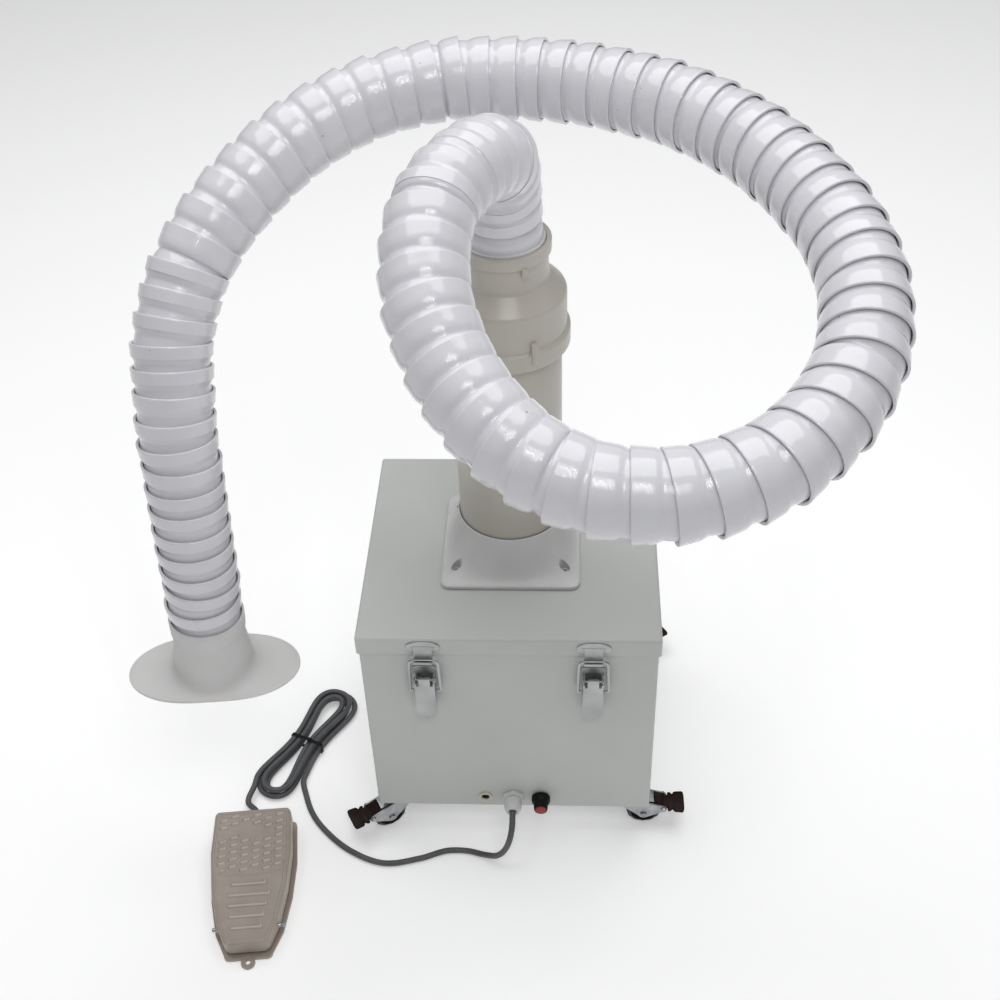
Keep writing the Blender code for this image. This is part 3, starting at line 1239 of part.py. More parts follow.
def impeller():
    """A drum of slanted blades between a hub plate and a ring."""
    low = BLOWER_BOTTOM + BLOWER_WALL + MOTOR_HEIGHT + IMPELLER_CLEARANCE
    high = low + IMPELLER_HEIGHT - 2 * BLOWER_WALL
    bore = MOTOR_SHAFT_RADIUS + IMPELLER_CLEARANCE
    hub_top = low + IMPELLER_HEIGHT / 2
    profile = [(bore, hub_top), (IMPELLER_HUB_RADIUS, hub_top), (IMPELLER_HUB_RADIUS, low + IMPELLER_PLATE),
               (IMPELLER_RADIUS, low + IMPELLER_PLATE), (IMPELLER_RADIUS, low), (bore, low)]
    wheel = lathe("impeller", profile, 14)
    inner = IMPELLER_RADIUS - BLADE_DEPTH
    ring_in = inner + BLADE_THICKNESS
    ring = [(IMPELLER_RADIUS, high), (IMPELLER_RADIUS, high - IMPELLER_RING), (ring_in, high - IMPELLER_RING),
            (ring_in, high)]
    blades = bmesh.new()
    middle = (inner + IMPELLER_RADIUS) / 2
    for i in range(IMPELLER_BLADES):
        made = bmesh.ops.create_cube(blades, size=1.0)["verts"]
        size = (BLADE_DEPTH * 0.86, BLADE_THICKNESS, high - low - IMPELLER_PLATE / 2 - IMPELLER_RING / 2)
        bmesh.ops.scale(blades, vec=size, verts=made)
        place = Matrix.Rotation(2 * math.pi * i / IMPELLER_BLADES, 4, "Z") @ Matrix.Translation((middle, 0, 0)) \
            @ Matrix.Rotation(BLADE_TURN, 4, "Z")
        bmesh.ops.transform(blades, matrix=place, verts=made)
    centre = (low + IMPELLER_PLATE / 2 + high - IMPELLER_RING / 2) / 2
    bmesh.ops.translate(blades, vec=(0, 0, centre), verts=blades.verts)
    wheel = join(wheel, object_from_bmesh("blades", blades), lathe("ring", ring, 14))
    return finish(moved(wheel, Matrix.Translation((BLOWER_X, BLOWER_Y, 0))), "impeller", "black_plastic")


# Casters, drawn with the swivel axis at the origin and the wheel trailing towards +X
CROWN_TOP = -(SEAT_GAP + CASTER_PLATE_SHEET + CASTER_CUP_HEIGHT + CASTER_CLEARANCE)
CROWN_BOTTOM = CROWN_TOP - CASTER_FORK_SHEET
AXLE_Z = WHEEL_RADIUS - CASTER_HEIGHT


def caster_plate():
    top = -SEAT_GAP
    half = CASTER_PLATE / 2
    base = plate("plate", [rounded_rectangle(half, half, CASTER_PLATE / 8, 2)], CASTER_PLATE_SHEET,
                 Matrix.Translation((0, 0, top - CASTER_PLATE_SHEET / 2)))
    cup_top = top - CASTER_PLATE_SHEET / 2
    cup_bottom = CROWN_TOP + CASTER_CLEARANCE
    head_top = CROWN_BOTTOM - CASTER_CLEARANCE
    profile = [(0, cup_top), (CASTER_CUP_RADIUS, cup_top), (CASTER_CUP_RADIUS, cup_bottom),
               (CASTER_KING_RADIUS, cup_bottom), (CASTER_KING_RADIUS, head_top), (CASTER_KING_HEAD_RADIUS, head_top),
               (CASTER_KING_HEAD_RADIUS, head_top - CASTER_KING_HEAD), (0, head_top - CASTER_KING_HEAD)]
    return join(base, lathe("cup", profile, 8))


def fork_cheek(side):
    """One side of the fork: crown edge, axle hub and the lug that holds the brake."""
    lug = (BRAKE_X, -BRAKE_DROP)
    hub = (CASTER_TRAIL, AXLE_Z)
    crown = CASTER_CUP_RADIUS
    outline = [(-crown * 0.75, CROWN_TOP - SEAT_GAP), (-crown * 0.75, CROWN_BOTTOM - CASTER_FORK_SHEET)]
    outline += arc(hub, FORK_HUB_RADIUS, math.radians(200), math.radians(305), 3)
    outline += arc(lug, FORK_LUG_RADIUS, math.radians(-55), math.radians(80), 3)
    outline += [(crown, CROWN_TOP - SEAT_GAP)]
    middle = side * (FORK_INNER + FORK_CHEEK / 2)
    pin_hole = circle(BRAKE_PIN_RADIUS + CASTER_CLEARANCE, 6, lug)
    return plate("cheek", [outline, pin_hole], FORK_CHEEK, across_y(middle))


def caster_fork():
    crown = [rounded_rectangle(CASTER_CUP_RADIUS, FORK_INNER + SEAT_GAP, CASTER_CUP_RADIUS / 2, 1),
             circle(CASTER_KING_RADIUS + CASTER_CLEARANCE, 8)]
    fork = plate("fork", crown, CASTER_FORK_SHEET, Matrix.Translation((0, 0, (CROWN_TOP + CROWN_BOTTOM) / 2)))
    for side in (-1, 1):
        fork = join(fork, fork_cheek(side))
    outer = FORK_INNER + FORK_CHEEK
    ends = (outer - FORK_CHEEK / 2, outer + AXLE_HEAD)
    fork = join(fork, rod("axle", (CASTER_TRAIL, -ends[0], AXLE_Z), (CASTER_TRAIL, ends[0], AXLE_Z), AXLE_RADIUS, 8))
    for side in (-1, 1):
        head = rod("head", (CASTER_TRAIL, side * ends[0], AXLE_Z), (CASTER_TRAIL, side * ends[1], AXLE_Z),
                   AXLE_HEAD_RADIUS, 6)
        fork = join(fork, head)
    return fork


def caster_wheel():
    half = WHEEL_WIDTH / 2
    bore = AXLE_RADIUS + CASTER_CLEARANCE
    rim = WHEEL_RADIUS - WHEEL_RIM
    web = WHEEL_WEB / 2
    upper = [(bore, half), (WHEEL_HUB_RADIUS, half), (rim, web), (rim, half), (WHEEL_RADIUS, half - WHEEL_ROUND)]
    lower = [(r, -z) for r, z in reversed(upper)]
    wheel = lathe("wheel", upper + lower, 12)
    return moved(wheel, Matrix.Translation((CASTER_TRAIL, 0, AXLE_Z)) @ Matrix.Rotation(math.pi / 2, 4, "X"))


def caster_brake():
    """A dogbone pedal on a pin across the fork's lugs."""
    half = BRAKE_WIDTH / 2
    waist = BRAKE_WAIST
    start, end = -BRAKE_INNER, BRAKE_OUTER
    shares = ((0.0, 0.30), (0.10, 0.42), (0.30, 0.40), (0.50, 0.27), (0.70, 0.48), (0.86, 0.50),
              (1.0, 0.40))
    right = [(start + (end - start) * a, b * BRAKE_WIDTH) for a, b in shares]
    outline = right[::-1] + [(x, -y) for x, y in right]
    thickness = BRAKE_THICKNESS
    pedal = plate("pedal", [outline[::-1]], thickness, Matrix.Translation((BRAKE_X, 0, -BRAKE_DROP)))
    rim = FORK_INNER + FORK_CHEEK
    for side in (-1, 1):
        slot_low = (BRAKE_X - BRAKE_INNER - OVERCUT, side * rim - waist / 2, -BRAKE_DROP - OVERCUT)
        slot_high = (BRAKE_X + FORK_LUG_RADIUS + 2 * CASTER_CLEARANCE, side * rim + waist / 2, -BRAKE_DROP + OVERCUT)
        inner, outer = sorted((side * (FORK_INNER - CASTER_CLEARANCE), side * (half + OVERCUT)))
        pedal = cut(pedal, box("slot", (slot_low[0], inner, slot_low[2]), (slot_high[0], outer, slot_high[2])))
    pin = rod("pin", (BRAKE_X, -rim - SEAT_GAP, -BRAKE_DROP), (BRAKE_X, rim + SEAT_GAP, -BRAKE_DROP),
              BRAKE_PIN_RADIUS, 8)
    return join(pedal, pin)


def casters():
    places = ((-CASTER_X, -CASTER_Y), (CASTER_X, -CASTER_Y), (-CASTER_X, CASTER_Y), (CASTER_X, CASTER_Y))
    names = ("front_left", "front_right", "rear_left", "rear_right")
    makers = (("plate", caster_plate, "zinc"), ("fork", caster_fork, "zinc"), ("wheel", caster_wheel, "wheel"),
              ("brake", caster_brake, "brown_plastic"))
    pieces = {}
    for kind, maker, colour in makers:
        first = maker()
        for place, name, heading in zip(places, names, CASTER_HEADINGS):
            piece = object_from_mesh(kind, first.data.copy())
            turn = 0.0 if kind == "plate" else heading
            piece.data.transform(Matrix.Translation((*place, 0)) @ Matrix.Rotation(turn, 4, "Z"))
            pieces[name, kind] = finish(piece, "caster_%s_%s" % (kind, name), colour)
        remove(first)
    return pieces


def caster_matrix(index):
    places = ((-CASTER_X, -CASTER_Y), (CASTER_X, -CASTER_Y), (-CASTER_X, CASTER_Y), (CASTER_X, CASTER_Y))
    return Matrix.Translation((*places[index], 0)) @ Matrix.Rotation(CASTER_HEADINGS[index], 4, "Z")


# Foot pedal, drawn with its rear edge on X and its front towards +Y, then turned round
def pedal_matrix():
    turn = Matrix.Rotation(math.pi + PEDAL_TURN, 4, "Z")
    return Matrix.Translation((PEDAL_X, PEDAL_Y, FLOOR)) @ turn


def pedal_outline(inset):
    """The tapered outline, rounded at the rear corners and the front."""
    rear, front = PEDAL_REAR_HALF - inset, PEDAL_FRONT_HALF - inset
    start, end = inset, PEDAL_LENGTH - inset
    corner = PEDAL_CORNER
    right = arc((rear - corner, start + corner), corner, -math.pi / 2, 0.0, 3)
    right += [(PEDAL_WIDE_HALF - inset, PEDAL_WIDE_AT), (PEDAL_MID_HALF - inset, PEDAL_MID_AT),
              (PEDAL_PIN_HALF - inset, PEDAL_PIN_AT)]
    right += arc((front - corner, end - corner), corner, 0.0, math.pi / 2, 3)
    return right + [(-x, y) for x, y in reversed(right)]


def treadle_slope():
    """Lays a level treadle down towards the front."""
    fall = math.atan2(TREADLE_REAR_HEIGHT - TREADLE_FRONT_HEIGHT, PEDAL_LENGTH)
    return Matrix.Translation((0, 0, TREADLE_REAR_HEIGHT)) @ Matrix.Rotation(-fall, 4, "X")


def pedal_treadle():
    shell = plate("treadle", [pedal_outline(0.0)], TREADLE_SKIRT, Matrix.Translation((0, 0, -TREADLE_SKIRT / 2)))
    hollow = plate("hollow", [pedal_outline(TREADLE_SHEET)], TREADLE_SKIRT,
                   Matrix.Translation((0, 0, -TREADLE_SKIRT / 2 - TREADLE_SHEET)))
    shell = cut(shell, hollow)
    ribs = bmesh.new()
    for i in range(TREADLE_RIBS):
        y = TREADLE_RIB_START + i * TREADLE_RIB_PITCH
        raised_bar(ribs, (0, y), TREADLE_RIB_LENGTH * (1 - 0.08 * i), 0.0)
    for row in range(TREAD_ROWS):
        for column in range(TREAD_COLUMNS):
            x = (column - (TREAD_COLUMNS - 1) / 2) * TREAD_PITCH
            y = PEDAL_CORNER + (row + 0.8) * TREAD_PITCH
            turn = math.pi / 4 if (row + column) % 2 else -math.pi / 4
            raised_bar(ribs, (x, y), TREAD_LENGTH, turn)
    shell = join(shell, object_from_bmesh("ribs", ribs))
    shell = moved(shell, treadle_slope())
    hole_z = PEDAL_PIN_HEIGHT
    reach = PEDAL_WIDE_HALF + OVERCUT
    hole = rod("hole", (-reach, PEDAL_PIN_AT, hole_z), (reach, PEDAL_PIN_AT, hole_z),
               PEDAL_PIN_RADIUS + PEDAL_PIN_CLEARANCE, 10)
    return finish(moved(cut(shell, hole), pedal_matrix()), "pedal_treadle", "pedal_cast")


def raised_bar(bm, place, length, turn):
    """A low bar on the treadle's top."""
    made = bmesh.ops.create_cube(bm, size=1.0)["verts"]
    height = 2 * TREADLE_RIB_RISE
    bmesh.ops.scale(bm, vec=(length, TREADLE_RIB_WIDTH, height), verts=made)
    matrix = Matrix.Translation((*place, 0)) @ Matrix.Rotation(turn, 4, "Z")
    bmesh.ops.transform(bm, matrix=matrix, verts=made)


def pedal_base():
    sheet = PEDAL_BASE_SHEET
    margin = PEDAL_BASE_MARGIN
    base = plate("base", [pedal_outline(-margin)], sheet, Matrix.Translation((0, 0, sheet / 2)))
    box_low = (-PEDAL_BOX_HALF, PEDAL_BOX_START, sheet / 2)
    housing = box("housing", box_low, (PEDAL_BOX_HALF, PEDAL_BOX_END, PEDAL_BOX_HEIGHT), PEDAL_BASE_SHEET)
    base = join(base, housing)
    post_half = PEDAL_POST_REACH
    for side in (-1, 1):
        inner, outer = sorted((side * PEDAL_POST_HALF, side * (PEDAL_POST_HALF - PEDAL_POST_SHEET)))
        post = box("post", (inner, PEDAL_PIN_AT - post_half, sheet / 2),
                   (outer, PEDAL_PIN_AT + post_half, PEDAL_PIN_HEIGHT + PEDAL_PIN_RADIUS * 2))
        base = join(base, post)
    reach = PEDAL_POST_HALF + OVERCUT
    bore = rod("bore", (-reach, PEDAL_PIN_AT, PEDAL_PIN_HEIGHT), (reach, PEDAL_PIN_AT, PEDAL_PIN_HEIGHT),
               PEDAL_PIN_RADIUS + PEDAL_PIN_CLEARANCE, 10)
    base = cut(base, bore)
    ear_y = PEDAL_LENGTH + margin + PEDAL_EAR_OUT
    ear = rod("ear", (0, ear_y, 0), (0, ear_y, sheet * 0.8), PEDAL_EAR_RADIUS, 12)
    base = join(base, ear)
    base = cut(base, rod("ear_hole", (0, ear_y, -OVERCUT), (0, ear_y, sheet + OVERCUT), PEDAL_EAR_HOLE, 10))
    grommet_z = PEDAL_GROMMET_HEIGHT
    wall = box("wall", (-PEDAL_GROMMET_RADIUS * 1.5, SEAT_GAP - margin, sheet / 2),
               (PEDAL_GROMMET_RADIUS * 1.5, -PEDAL_WALL_GAP, grommet_z + PEDAL_GROMMET_RADIUS * 1.2))
    grommet = rod("grommet", (0, -margin / 2, grommet_z), (0, -margin - PEDAL_GROMMET_LENGTH, grommet_z),
                  PEDAL_GROMMET_RADIUS, 10)
    base = join(base, wall, grommet)
    return finish(moved(base, pedal_matrix()), "pedal_base", "pedal_cast")


def pedal_pin():
    half = PEDAL_PIN_LENGTH / 2
    profile = [(0, half), (PEDAL_PIN_RADIUS * 0.7, half), (PEDAL_PIN_RADIUS, half * 0.98),
               (PEDAL_PIN_RADIUS, -half * 0.98), (PEDAL_PIN_RADIUS * 0.7, -half), (0, -half)]
    pin = moved(lathe("pin", profile, 10), Matrix.Rotation(math.pi / 2, 4, "Y"))
    place = pedal_matrix() @ Matrix.Translation((0, PEDAL_PIN_AT, PEDAL_PIN_HEIGHT))
    return finish(moved(pin, place), "pedal_pin", "zinc")


def treadle_underside(at):
    """Height of the treadle's inner face above the floor, at a distance from the rear edge."""
    fall = (TREADLE_REAR_HEIGHT - TREADLE_FRONT_HEIGHT) / PEDAL_LENGTH
    return TREADLE_REAR_HEIGHT - fall * at - TREADLE_SHEET * math.sqrt(1 + fall * fall)


def spring_ends():
    """Heights of the spring's wire at its two ends."""
    low = PEDAL_BASE_SHEET + SPRING_WIRE_RADIUS + SEAT_GAP
    high = treadle_underside(SPRING_AT + SPRING_RADIUS + SPRING_WIRE_RADIUS) - SPRING_WIRE_RADIUS - SEAT_GAP
    return low, high


def pedal_spring():
    low, high = spring_ends()
    points = []
    count = SPRING_TURNS * 8
    for i in range(count + 1):
        turn = 2 * math.pi * i / 8
        x = SPRING_RADIUS * math.cos(turn)
        y = SPRING_AT + SPRING_RADIUS * math.sin(turn)
        points.append((x, y, low + (high - low) * i / count))
    spring = tube("spring", points, SPRING_WIRE_RADIUS, 1)
    return finish(moved(spring, pedal_matrix()), "pedal_spring", "steel")


# Cable
def smooth_path(points, step):
    """A smooth curve through the points, read at even steps between two straight ends."""
    points = [Vector(p) for p in points]
    fine = []
    pieces = 16
    for a, b, c, d in zip(points, points[1:], points[2:], points[3:]):
        before, span, after = (b - a).length, (c - b).length, (d - c).length
        leave = ((b - a) / before - (c - a) / (before + span) + (c - b) / span) * span
        arrive = ((c - b) / span - (d - b) / (span + after) + (d - c) / after) * span
        for i in range(pieces):
            t = i / pieces
            fine.append((2 * t ** 3 - 3 * t ** 2 + 1) * b + (t ** 3 - 2 * t ** 2 + t) * leave
                        + (3 * t ** 2 - 2 * t ** 3) * c + (t ** 3 - t ** 2) * arrive)
    fine.append(points[-2])
    route = Route(fine)
    count = max(2, round(route.length / step))
    middle = [route.read(route.places, route.length * i / count) for i in range(count + 1)]
    return [points[0]] + middle + [points[-1]]


def hank_point(turn):
    """A point of the hank: loops drawn in at the waist, inwards below and outwards above."""
    start, climb = HANK_START / (2 * math.pi), HANK_CLIMB / (2 * math.pi)
    laps = turn / (2 * math.pi)
    inward = laps - start if laps < climb else 2 * climb - laps - start
    half = HANK_HALF_LENGTH - inward * HANK_END_STEP
    lobe = HANK_LOBE - inward * HANK_LOBE_STEP
    waist = HANK_WAIST_HALF - inward * HANK_WAIST_STEP
    along = half * math.cos(turn)
    aside = math.sin(turn) * (waist + lobe * math.cos(turn) ** 2)
    share = (turn - HANK_CLIMB) / HANK_CLIMB_SPAN + 0.5
    share = min(max(share, 0.0), 1.0)
    c, s = math.cos(HANK_TURN), math.sin(HANK_TURN)
    return Vector((HANK_X + along * c - aside * s, HANK_Y + along * s + aside * c, HANK_FLOOR + share * HANK_LAYER))


def hank_points():
    """The hank's centre line, with a straight stretch of one diameter at each end."""
    count = round((HANK_END - HANK_START) / (2 * math.pi) * HANK_LOOP_POINTS)
    points = [hank_point(HANK_START + (HANK_END - HANK_START) * i / count) for i in range(count + 1)]
    lead = 2 * CABLE_RADIUS
    first = hank_point(HANK_START) - hank_point(HANK_START + 0.02)
    last = hank_point(HANK_END) - hank_point(HANK_END - 0.02)
    return [points[0] + first.normalized() * lead] + points + [points[-1] + last.normalized() * lead]


def least_gap(points, diameter):
    """The hank's least gap to itself, between stretches more than four diameters apart along it."""
    route = Route(points)
    count = int(route.length / (diameter / 4))
    places = np.array([tuple(route.read(route.places, route.length * i / count)) for i in range(count + 1)])
    step = route.length / count
    away = int(4 * diameter / step)
    least = math.inf
    for i in range(count + 1 - away):
        gaps = np.linalg.norm(places[i + away:] - places[i], axis=1)
        least = min(least, float(gaps.min()))
    return least - diameter


def path_length(points):
    return sum((Vector(b) - Vector(a)).length for a, b in zip(points, points[1:]))


def cable_pieces():
    hank = hank_points()
    lead = 2 * CABLE_RADIUS
    into = (hank[0] - hank[1]).normalized()
    out_of = (hank[-1] - hank[-2]).normalized()
    exit_point = Vector((0, FRONT - GLAND_LENGTH - SEAT_GAP, FITTING_HEIGHT))
    run_points = [exit_point, exit_point + Vector((0, -lead, 0))] + list(CABLE_RUN_POINTS)
    run = smooth_path(run_points + [hank[0] + into * (SEAT_GAP + lead), hank[0] + into * SEAT_GAP], CABLE_STEP)
    entry = -PEDAL_BASE_MARGIN - PEDAL_GROMMET_LENGTH - SEAT_GAP
    entries = [pedal_matrix() @ Vector((0, y, PEDAL_GROMMET_HEIGHT)) for y in (entry - lead, entry)]
    tail_points = [hank[-1] + out_of * SEAT_GAP, hank[-1] + out_of * (SEAT_GAP + lead)] + list(CABLE_TAIL_POINTS)
    tail = smooth_path(tail_points + entries, CABLE_STEP / 2)
    for place in (hank[0], hank[-1], *entries):
        print("cable passes %s" % " ".join("%.4f" % v for v in place))
    total = path_length(run) + path_length(hank) + path_length(tail)
    print("cable length %.3f m, hank's least gap to itself %.2f mm"
          % (total, 1000 * least_gap(hank, 2 * CABLE_RADIUS)))
    finish(tube("cable_run", run, CABLE_RADIUS, 1), "cable_run", "cable")
    finish(tube("cable_hank", hank, CABLE_RADIUS, 1), "cable_hank", "cable")
    finish(tube("cable_tail", tail, CABLE_RADIUS, 1), "cable_tail", "cable")


def cable_tie():
    """A flat band round the hank's waist."""
    reach = max(abs((hank_point(turn) - Vector((HANK_X, HANK_Y, 0))).xy.length)
                for turn in (math.radians(a) for a in range(-90, 1230, 180)))
    inner_x = reach + CABLE_RADIUS + TIE_CLEARANCE
    low = FLOOR + SEAT_GAP + TIE_SHEET
    high = HANK_FLOOR + HANK_LAYER + CABLE_RADIUS + TIE_CLEARANCE
    inner_z = (high - low) / 2
    corner = CABLE_RADIUS
    outlines = [rounded_rectangle(inner_x + TIE_SHEET, inner_z + TIE_SHEET, corner + TIE_SHEET, 2),
                rounded_rectangle(inner_x, inner_z, corner, 2)]
    band = plate("tie", outlines, TIE_WIDTH, across_y(0))
    place = Matrix.Translation((HANK_X, HANK_Y, (high + low) / 2)) @ Matrix.Rotation(HANK_TURN - math.pi / 2, 4, "Z")
    return finish(moved(band, place), "cable_tie", "black_plastic")


# Joints: an empty on each axis carries the pieces that turn about it
def joint(name, place, parent, *pieces):
    empty = bpy.data.objects.new("joint_" + name, None)
    PARTS.objects.link(empty)
    empty.location = place
    bpy.context.view_layer.update()
    if parent:
        attach(empty, parent)
    for piece in pieces:
        attach(bpy.data.objects[piece], empty)
    print("joint %s at %s" % (name, " ".join("%.5f" % v for v in place)))
    return empty


def attach(child, parent):
    child.parent = parent
    child.matrix_parent_inverse = parent.matrix_world.inverted()
    bpy.context.view_layer.update()


def arm_axis(kind, sign, along):
    """A joint's axis across the arm: level, or as upright as the arm allows."""
    if kind == "level":
        axis = along.cross(Vector((0, 0, 1)))
    else:
        axis = Vector((0, 0, 1)) - along * along.z
    return sign * axis.normalized()


def add_joints(route):
    lid_joint = joint("lid", (0, HINGE_Y, HINGE_Z), None, "lid", "hinge_lid_leaf", "latch_catch_left",
                      "latch_catch_right", "duct_flange", "duct_pipe", "reducer")
    parent = joint("arm_turn", (0, 0, COLLAR_TOP), lid_joint, "arm_collar", "arm_section_1")
    movers = ["arm_section_%d" % i for i in range(2, 8)] + ["hood"]
    for number, distance in enumerate(joint_distances(route)):
        frame = route.frame(distance)
        name = "arm_%d" % (number + 1) if number < 6 else "hood"
        parent = joint(name, frame.translation, parent, movers[number])
        axis = arm_axis(JOINT_AXES[number], JOINT_SIGNS[number], frame.col[2].xyz)
        print("axis %s %s" % (name, " ".join("%.5f" % v for v in axis)))
    for side, x in (("left", -LATCH_X), ("right", LATCH_X)):
        lever = joint("latch_lever_" + side, (x, LATCH_Y, LATCH_PIN_HEIGHT), None, "latch_lever_" + side)
        joint("latch_loop_" + side, (x, LATCH_Y, LATCH_PIN_HEIGHT - LOOP_DOWN), lever, "latch_loop_" + side)
    joint("speed_knob", (FITTING_SPACING, FRONT, FITTING_HEIGHT), None, "speed_knob", "knob_cap")
    joint("impeller", (BLOWER_X, BLOWER_Y, BLOWER_TOP), None, "impeller")
    for index, name in enumerate(("front_left", "front_right", "rear_left", "rear_right")):
        matrix = caster_matrix(index)
        swivel = joint("caster_swivel_" + name, matrix.translation, None, "caster_fork_" + name)
        joint("caster_roll_" + name, matrix @ Vector((CASTER_TRAIL, 0, AXLE_Z)), swivel, "caster_wheel_" + name)
        joint("caster_brake_" + name, matrix @ Vector((BRAKE_X, 0, -BRAKE_DROP)), swivel, "caster_brake_" + name)
        print("axis caster %s %s" % (name, " ".join("%.5f" % v for v in matrix.col[1].xyz)))
    matrix = pedal_matrix()
    joint("treadle", matrix @ Vector((0, PEDAL_PIN_AT, PEDAL_PIN_HEIGHT)), None, "pedal_treadle")
    print("axis treadle %s" % " ".join("%.5f" % v for v in matrix.col[0].xyz))


def build():
    cabinet_shell()
    lid()
    lid_gasket()
    hinge_cabinet_leaf()
    hinge_lid_leaf()
    exhaust_grille()
    power_jack()
    cable_gland()
    speed_knob()
    knob_cap()
    control_board()
    for side, x in (("left", -LATCH_X), ("right", LATCH_X)):
        latch_catch("latch_catch_" + side, x)
        latch_base("latch_base_" + side, x)
        latch_lever("latch_lever_" + side, x)
        latch_loop("latch_loop_" + side, x)
    duct_flange()
    duct_pipe()
    reducer()
    route = arm_route()
    print("arm length %.3f m" % route.length)
    arm_collar()
    for number in range(1, 8):
        arm_section(number, route)
    hood(route)
    fan_deck()
    filter_cartridge()
    prefilter()
    blower_housing()
    impeller()
    casters()
    pedal_base()
    pedal_treadle()
    pedal_pin()
    pedal_spring()
    cable_pieces()
    cable_tie()
    add_joints(route)


clear_scene()
PARTS = new_collection("Fume_Extractor")
WORK = new_collection("Cutters")
build()
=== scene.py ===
import math
import random

import bmesh
import bpy
import numpy as np
from mathutils import Matrix, Vector, noise


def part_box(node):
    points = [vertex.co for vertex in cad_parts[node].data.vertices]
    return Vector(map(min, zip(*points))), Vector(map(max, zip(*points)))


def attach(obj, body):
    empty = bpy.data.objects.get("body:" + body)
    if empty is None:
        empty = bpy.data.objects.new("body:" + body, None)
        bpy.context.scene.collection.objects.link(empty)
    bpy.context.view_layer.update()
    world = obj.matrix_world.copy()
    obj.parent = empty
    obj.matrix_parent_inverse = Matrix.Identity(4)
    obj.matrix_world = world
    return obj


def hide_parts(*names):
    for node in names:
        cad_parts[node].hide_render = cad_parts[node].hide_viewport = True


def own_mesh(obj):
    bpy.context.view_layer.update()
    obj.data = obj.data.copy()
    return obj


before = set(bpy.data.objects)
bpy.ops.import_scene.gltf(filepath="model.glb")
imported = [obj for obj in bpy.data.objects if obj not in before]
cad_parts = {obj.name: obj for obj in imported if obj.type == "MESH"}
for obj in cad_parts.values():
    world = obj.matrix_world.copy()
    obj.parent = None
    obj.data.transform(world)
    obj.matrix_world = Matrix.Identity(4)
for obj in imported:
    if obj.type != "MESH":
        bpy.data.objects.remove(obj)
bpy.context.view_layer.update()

SCENE = bpy.context.scene

def mm(*points):
    """Points given in millimetres, in metres."""
    return [tuple(value / 1000 for value in point) for point in points]


def moved(x, y, z):
    return Matrix.Translation((x, y, z))


def rotated(degrees, axis="Z"):
    return Matrix.Rotation(math.radians(degrees), 4, axis)


# Sizes repeated from the part's source, in metres
FLOOR = -0.05
FRONT = -0.145
FITTING_HEIGHT = 0.016
JACK_X, KNOB_X = -0.032, 0.032
LATCH_X = 0.089
FLANGE_BOTTOM, FLANGE_RISE = 0.2813, 0.056
FLANGE_HOLES = [(x, y, 0) for x in (-0.058, 0.058) for y in (-0.05, 0.05)]
COLLAR_TOP = 0.671
ARM_REACH = 0.4
ARM_ROUTE_SHARES = (
    (0.00, 0.00, 0.00), (0.00, 0.00, 0.19), (0.00, -0.13, 0.285), (-0.15, -0.35, 0.285),
    (-0.13, -0.62, 0.13), (0.08, -0.87, -0.03), (0.43, -0.92, -0.04), (0.72, -0.73, 0.06),
    (0.77, -0.36, 0.19), (0.5, 0.06, 0.28), (0.06, 0.27, 0.28), (-0.37, 0.2, 0.27),
    (-0.64, -0.07, 0.11), (-0.77, -0.27, -0.07), (-0.735, -0.41, -0.4), (-0.745, -0.44, -0.83),
)
SECTION_LENGTHS = (0.24, 0.26, 0.28, 0.28, 0.3, 0.3)
SECTION_CUPS = (10, 10, 10, 11, 12, 11, 16)
MOUTH_BACK = 0.007
CABLE_RADIUS = 0.0035
CABLE_RUN_POINTS = mm(
    (0, -183, 14), (-2, -192, 4), (-8, -196, -14), (-18, -193, -31), (-34, -184, -42.5),
    (-52, -177, -46.3), (-75, -176.5, -46.3), (-108, -188, -46.3), (-150, -195.5, -46.3),
    (-190, -180, -46.3), (-220, -156, -46.3), (-242, -129, -46.3), (-254, -102, -46))
CABLE_TAIL_POINTS = mm((-321.5, -118, -40), (-311, -129, -38.5))
HANK_CENTRE = Vector((-0.265, -0.0235, 0.0))
HANK_TURN = math.radians(65.7)
HANK_FLOOR = CABLE_RADIUS + 0.0018 + FLOOR
HANK_LAYER = 0.0076
HANK_START, HANK_END = math.radians(-115), math.radians(1230)
HANK_CLIMB, HANK_CLIMB_SPAN = math.radians(630), math.radians(180)
PEDAL_PLACE = moved(-0.307, -0.148, FLOOR) @ rotated(186.4)
PEDAL_LENGTH = 0.171
PEDAL_CORNER = 0.006
PEDAL_WIDTHS = mm((0, 43.8), (55, 45.7), (100, 42), (143, 34), (171, 23))
PEDAL_REAR_HEIGHT, PEDAL_FRONT_HEIGHT = 0.038, 0.027
CASTERS = (("front_left", -0.13, -0.122, 209), ("front_right", 0.13, -0.122, 0),
           ("rear_left", -0.13, 0.122, 160), ("rear_right", 0.13, 0.122, 35))

# Turns for a piece drawn about Z: its Z then looks forward, to the right or back
FORWARD, RIGHTWARD, REARWARD = (rotated(angle) @ rotated(90, "X") for angle in (0, 90, 180))


# Camera, in the photograph's place
def camera():
    yaw, pitch, roll = (math.radians(a) for a in (3.62, 41.06, -2.12))
    lens, place = 50.98, (0.061, -1.151, 1.3485)
    right = Vector((1, 0, 0))
    forward = Vector((0, math.cos(pitch), -math.sin(pitch)))
    up = right.cross(forward)
    turned_right = math.cos(roll) * right + math.sin(roll) * up
    turned_up = -math.sin(roll) * right + math.cos(roll) * up
    basis = Matrix.Rotation(yaw, 3, "Z") @ Matrix((turned_right, turned_up, -forward)).transposed()
    data = bpy.data.cameras.new("camera")
    data.sensor_width = 36.0
    data.lens = lens
    obj = bpy.data.objects.new("camera", data)
    SCENE.collection.objects.link(obj)
    obj.matrix_world = moved(*place) @ basis.to_4x4()
    SCENE.camera = obj


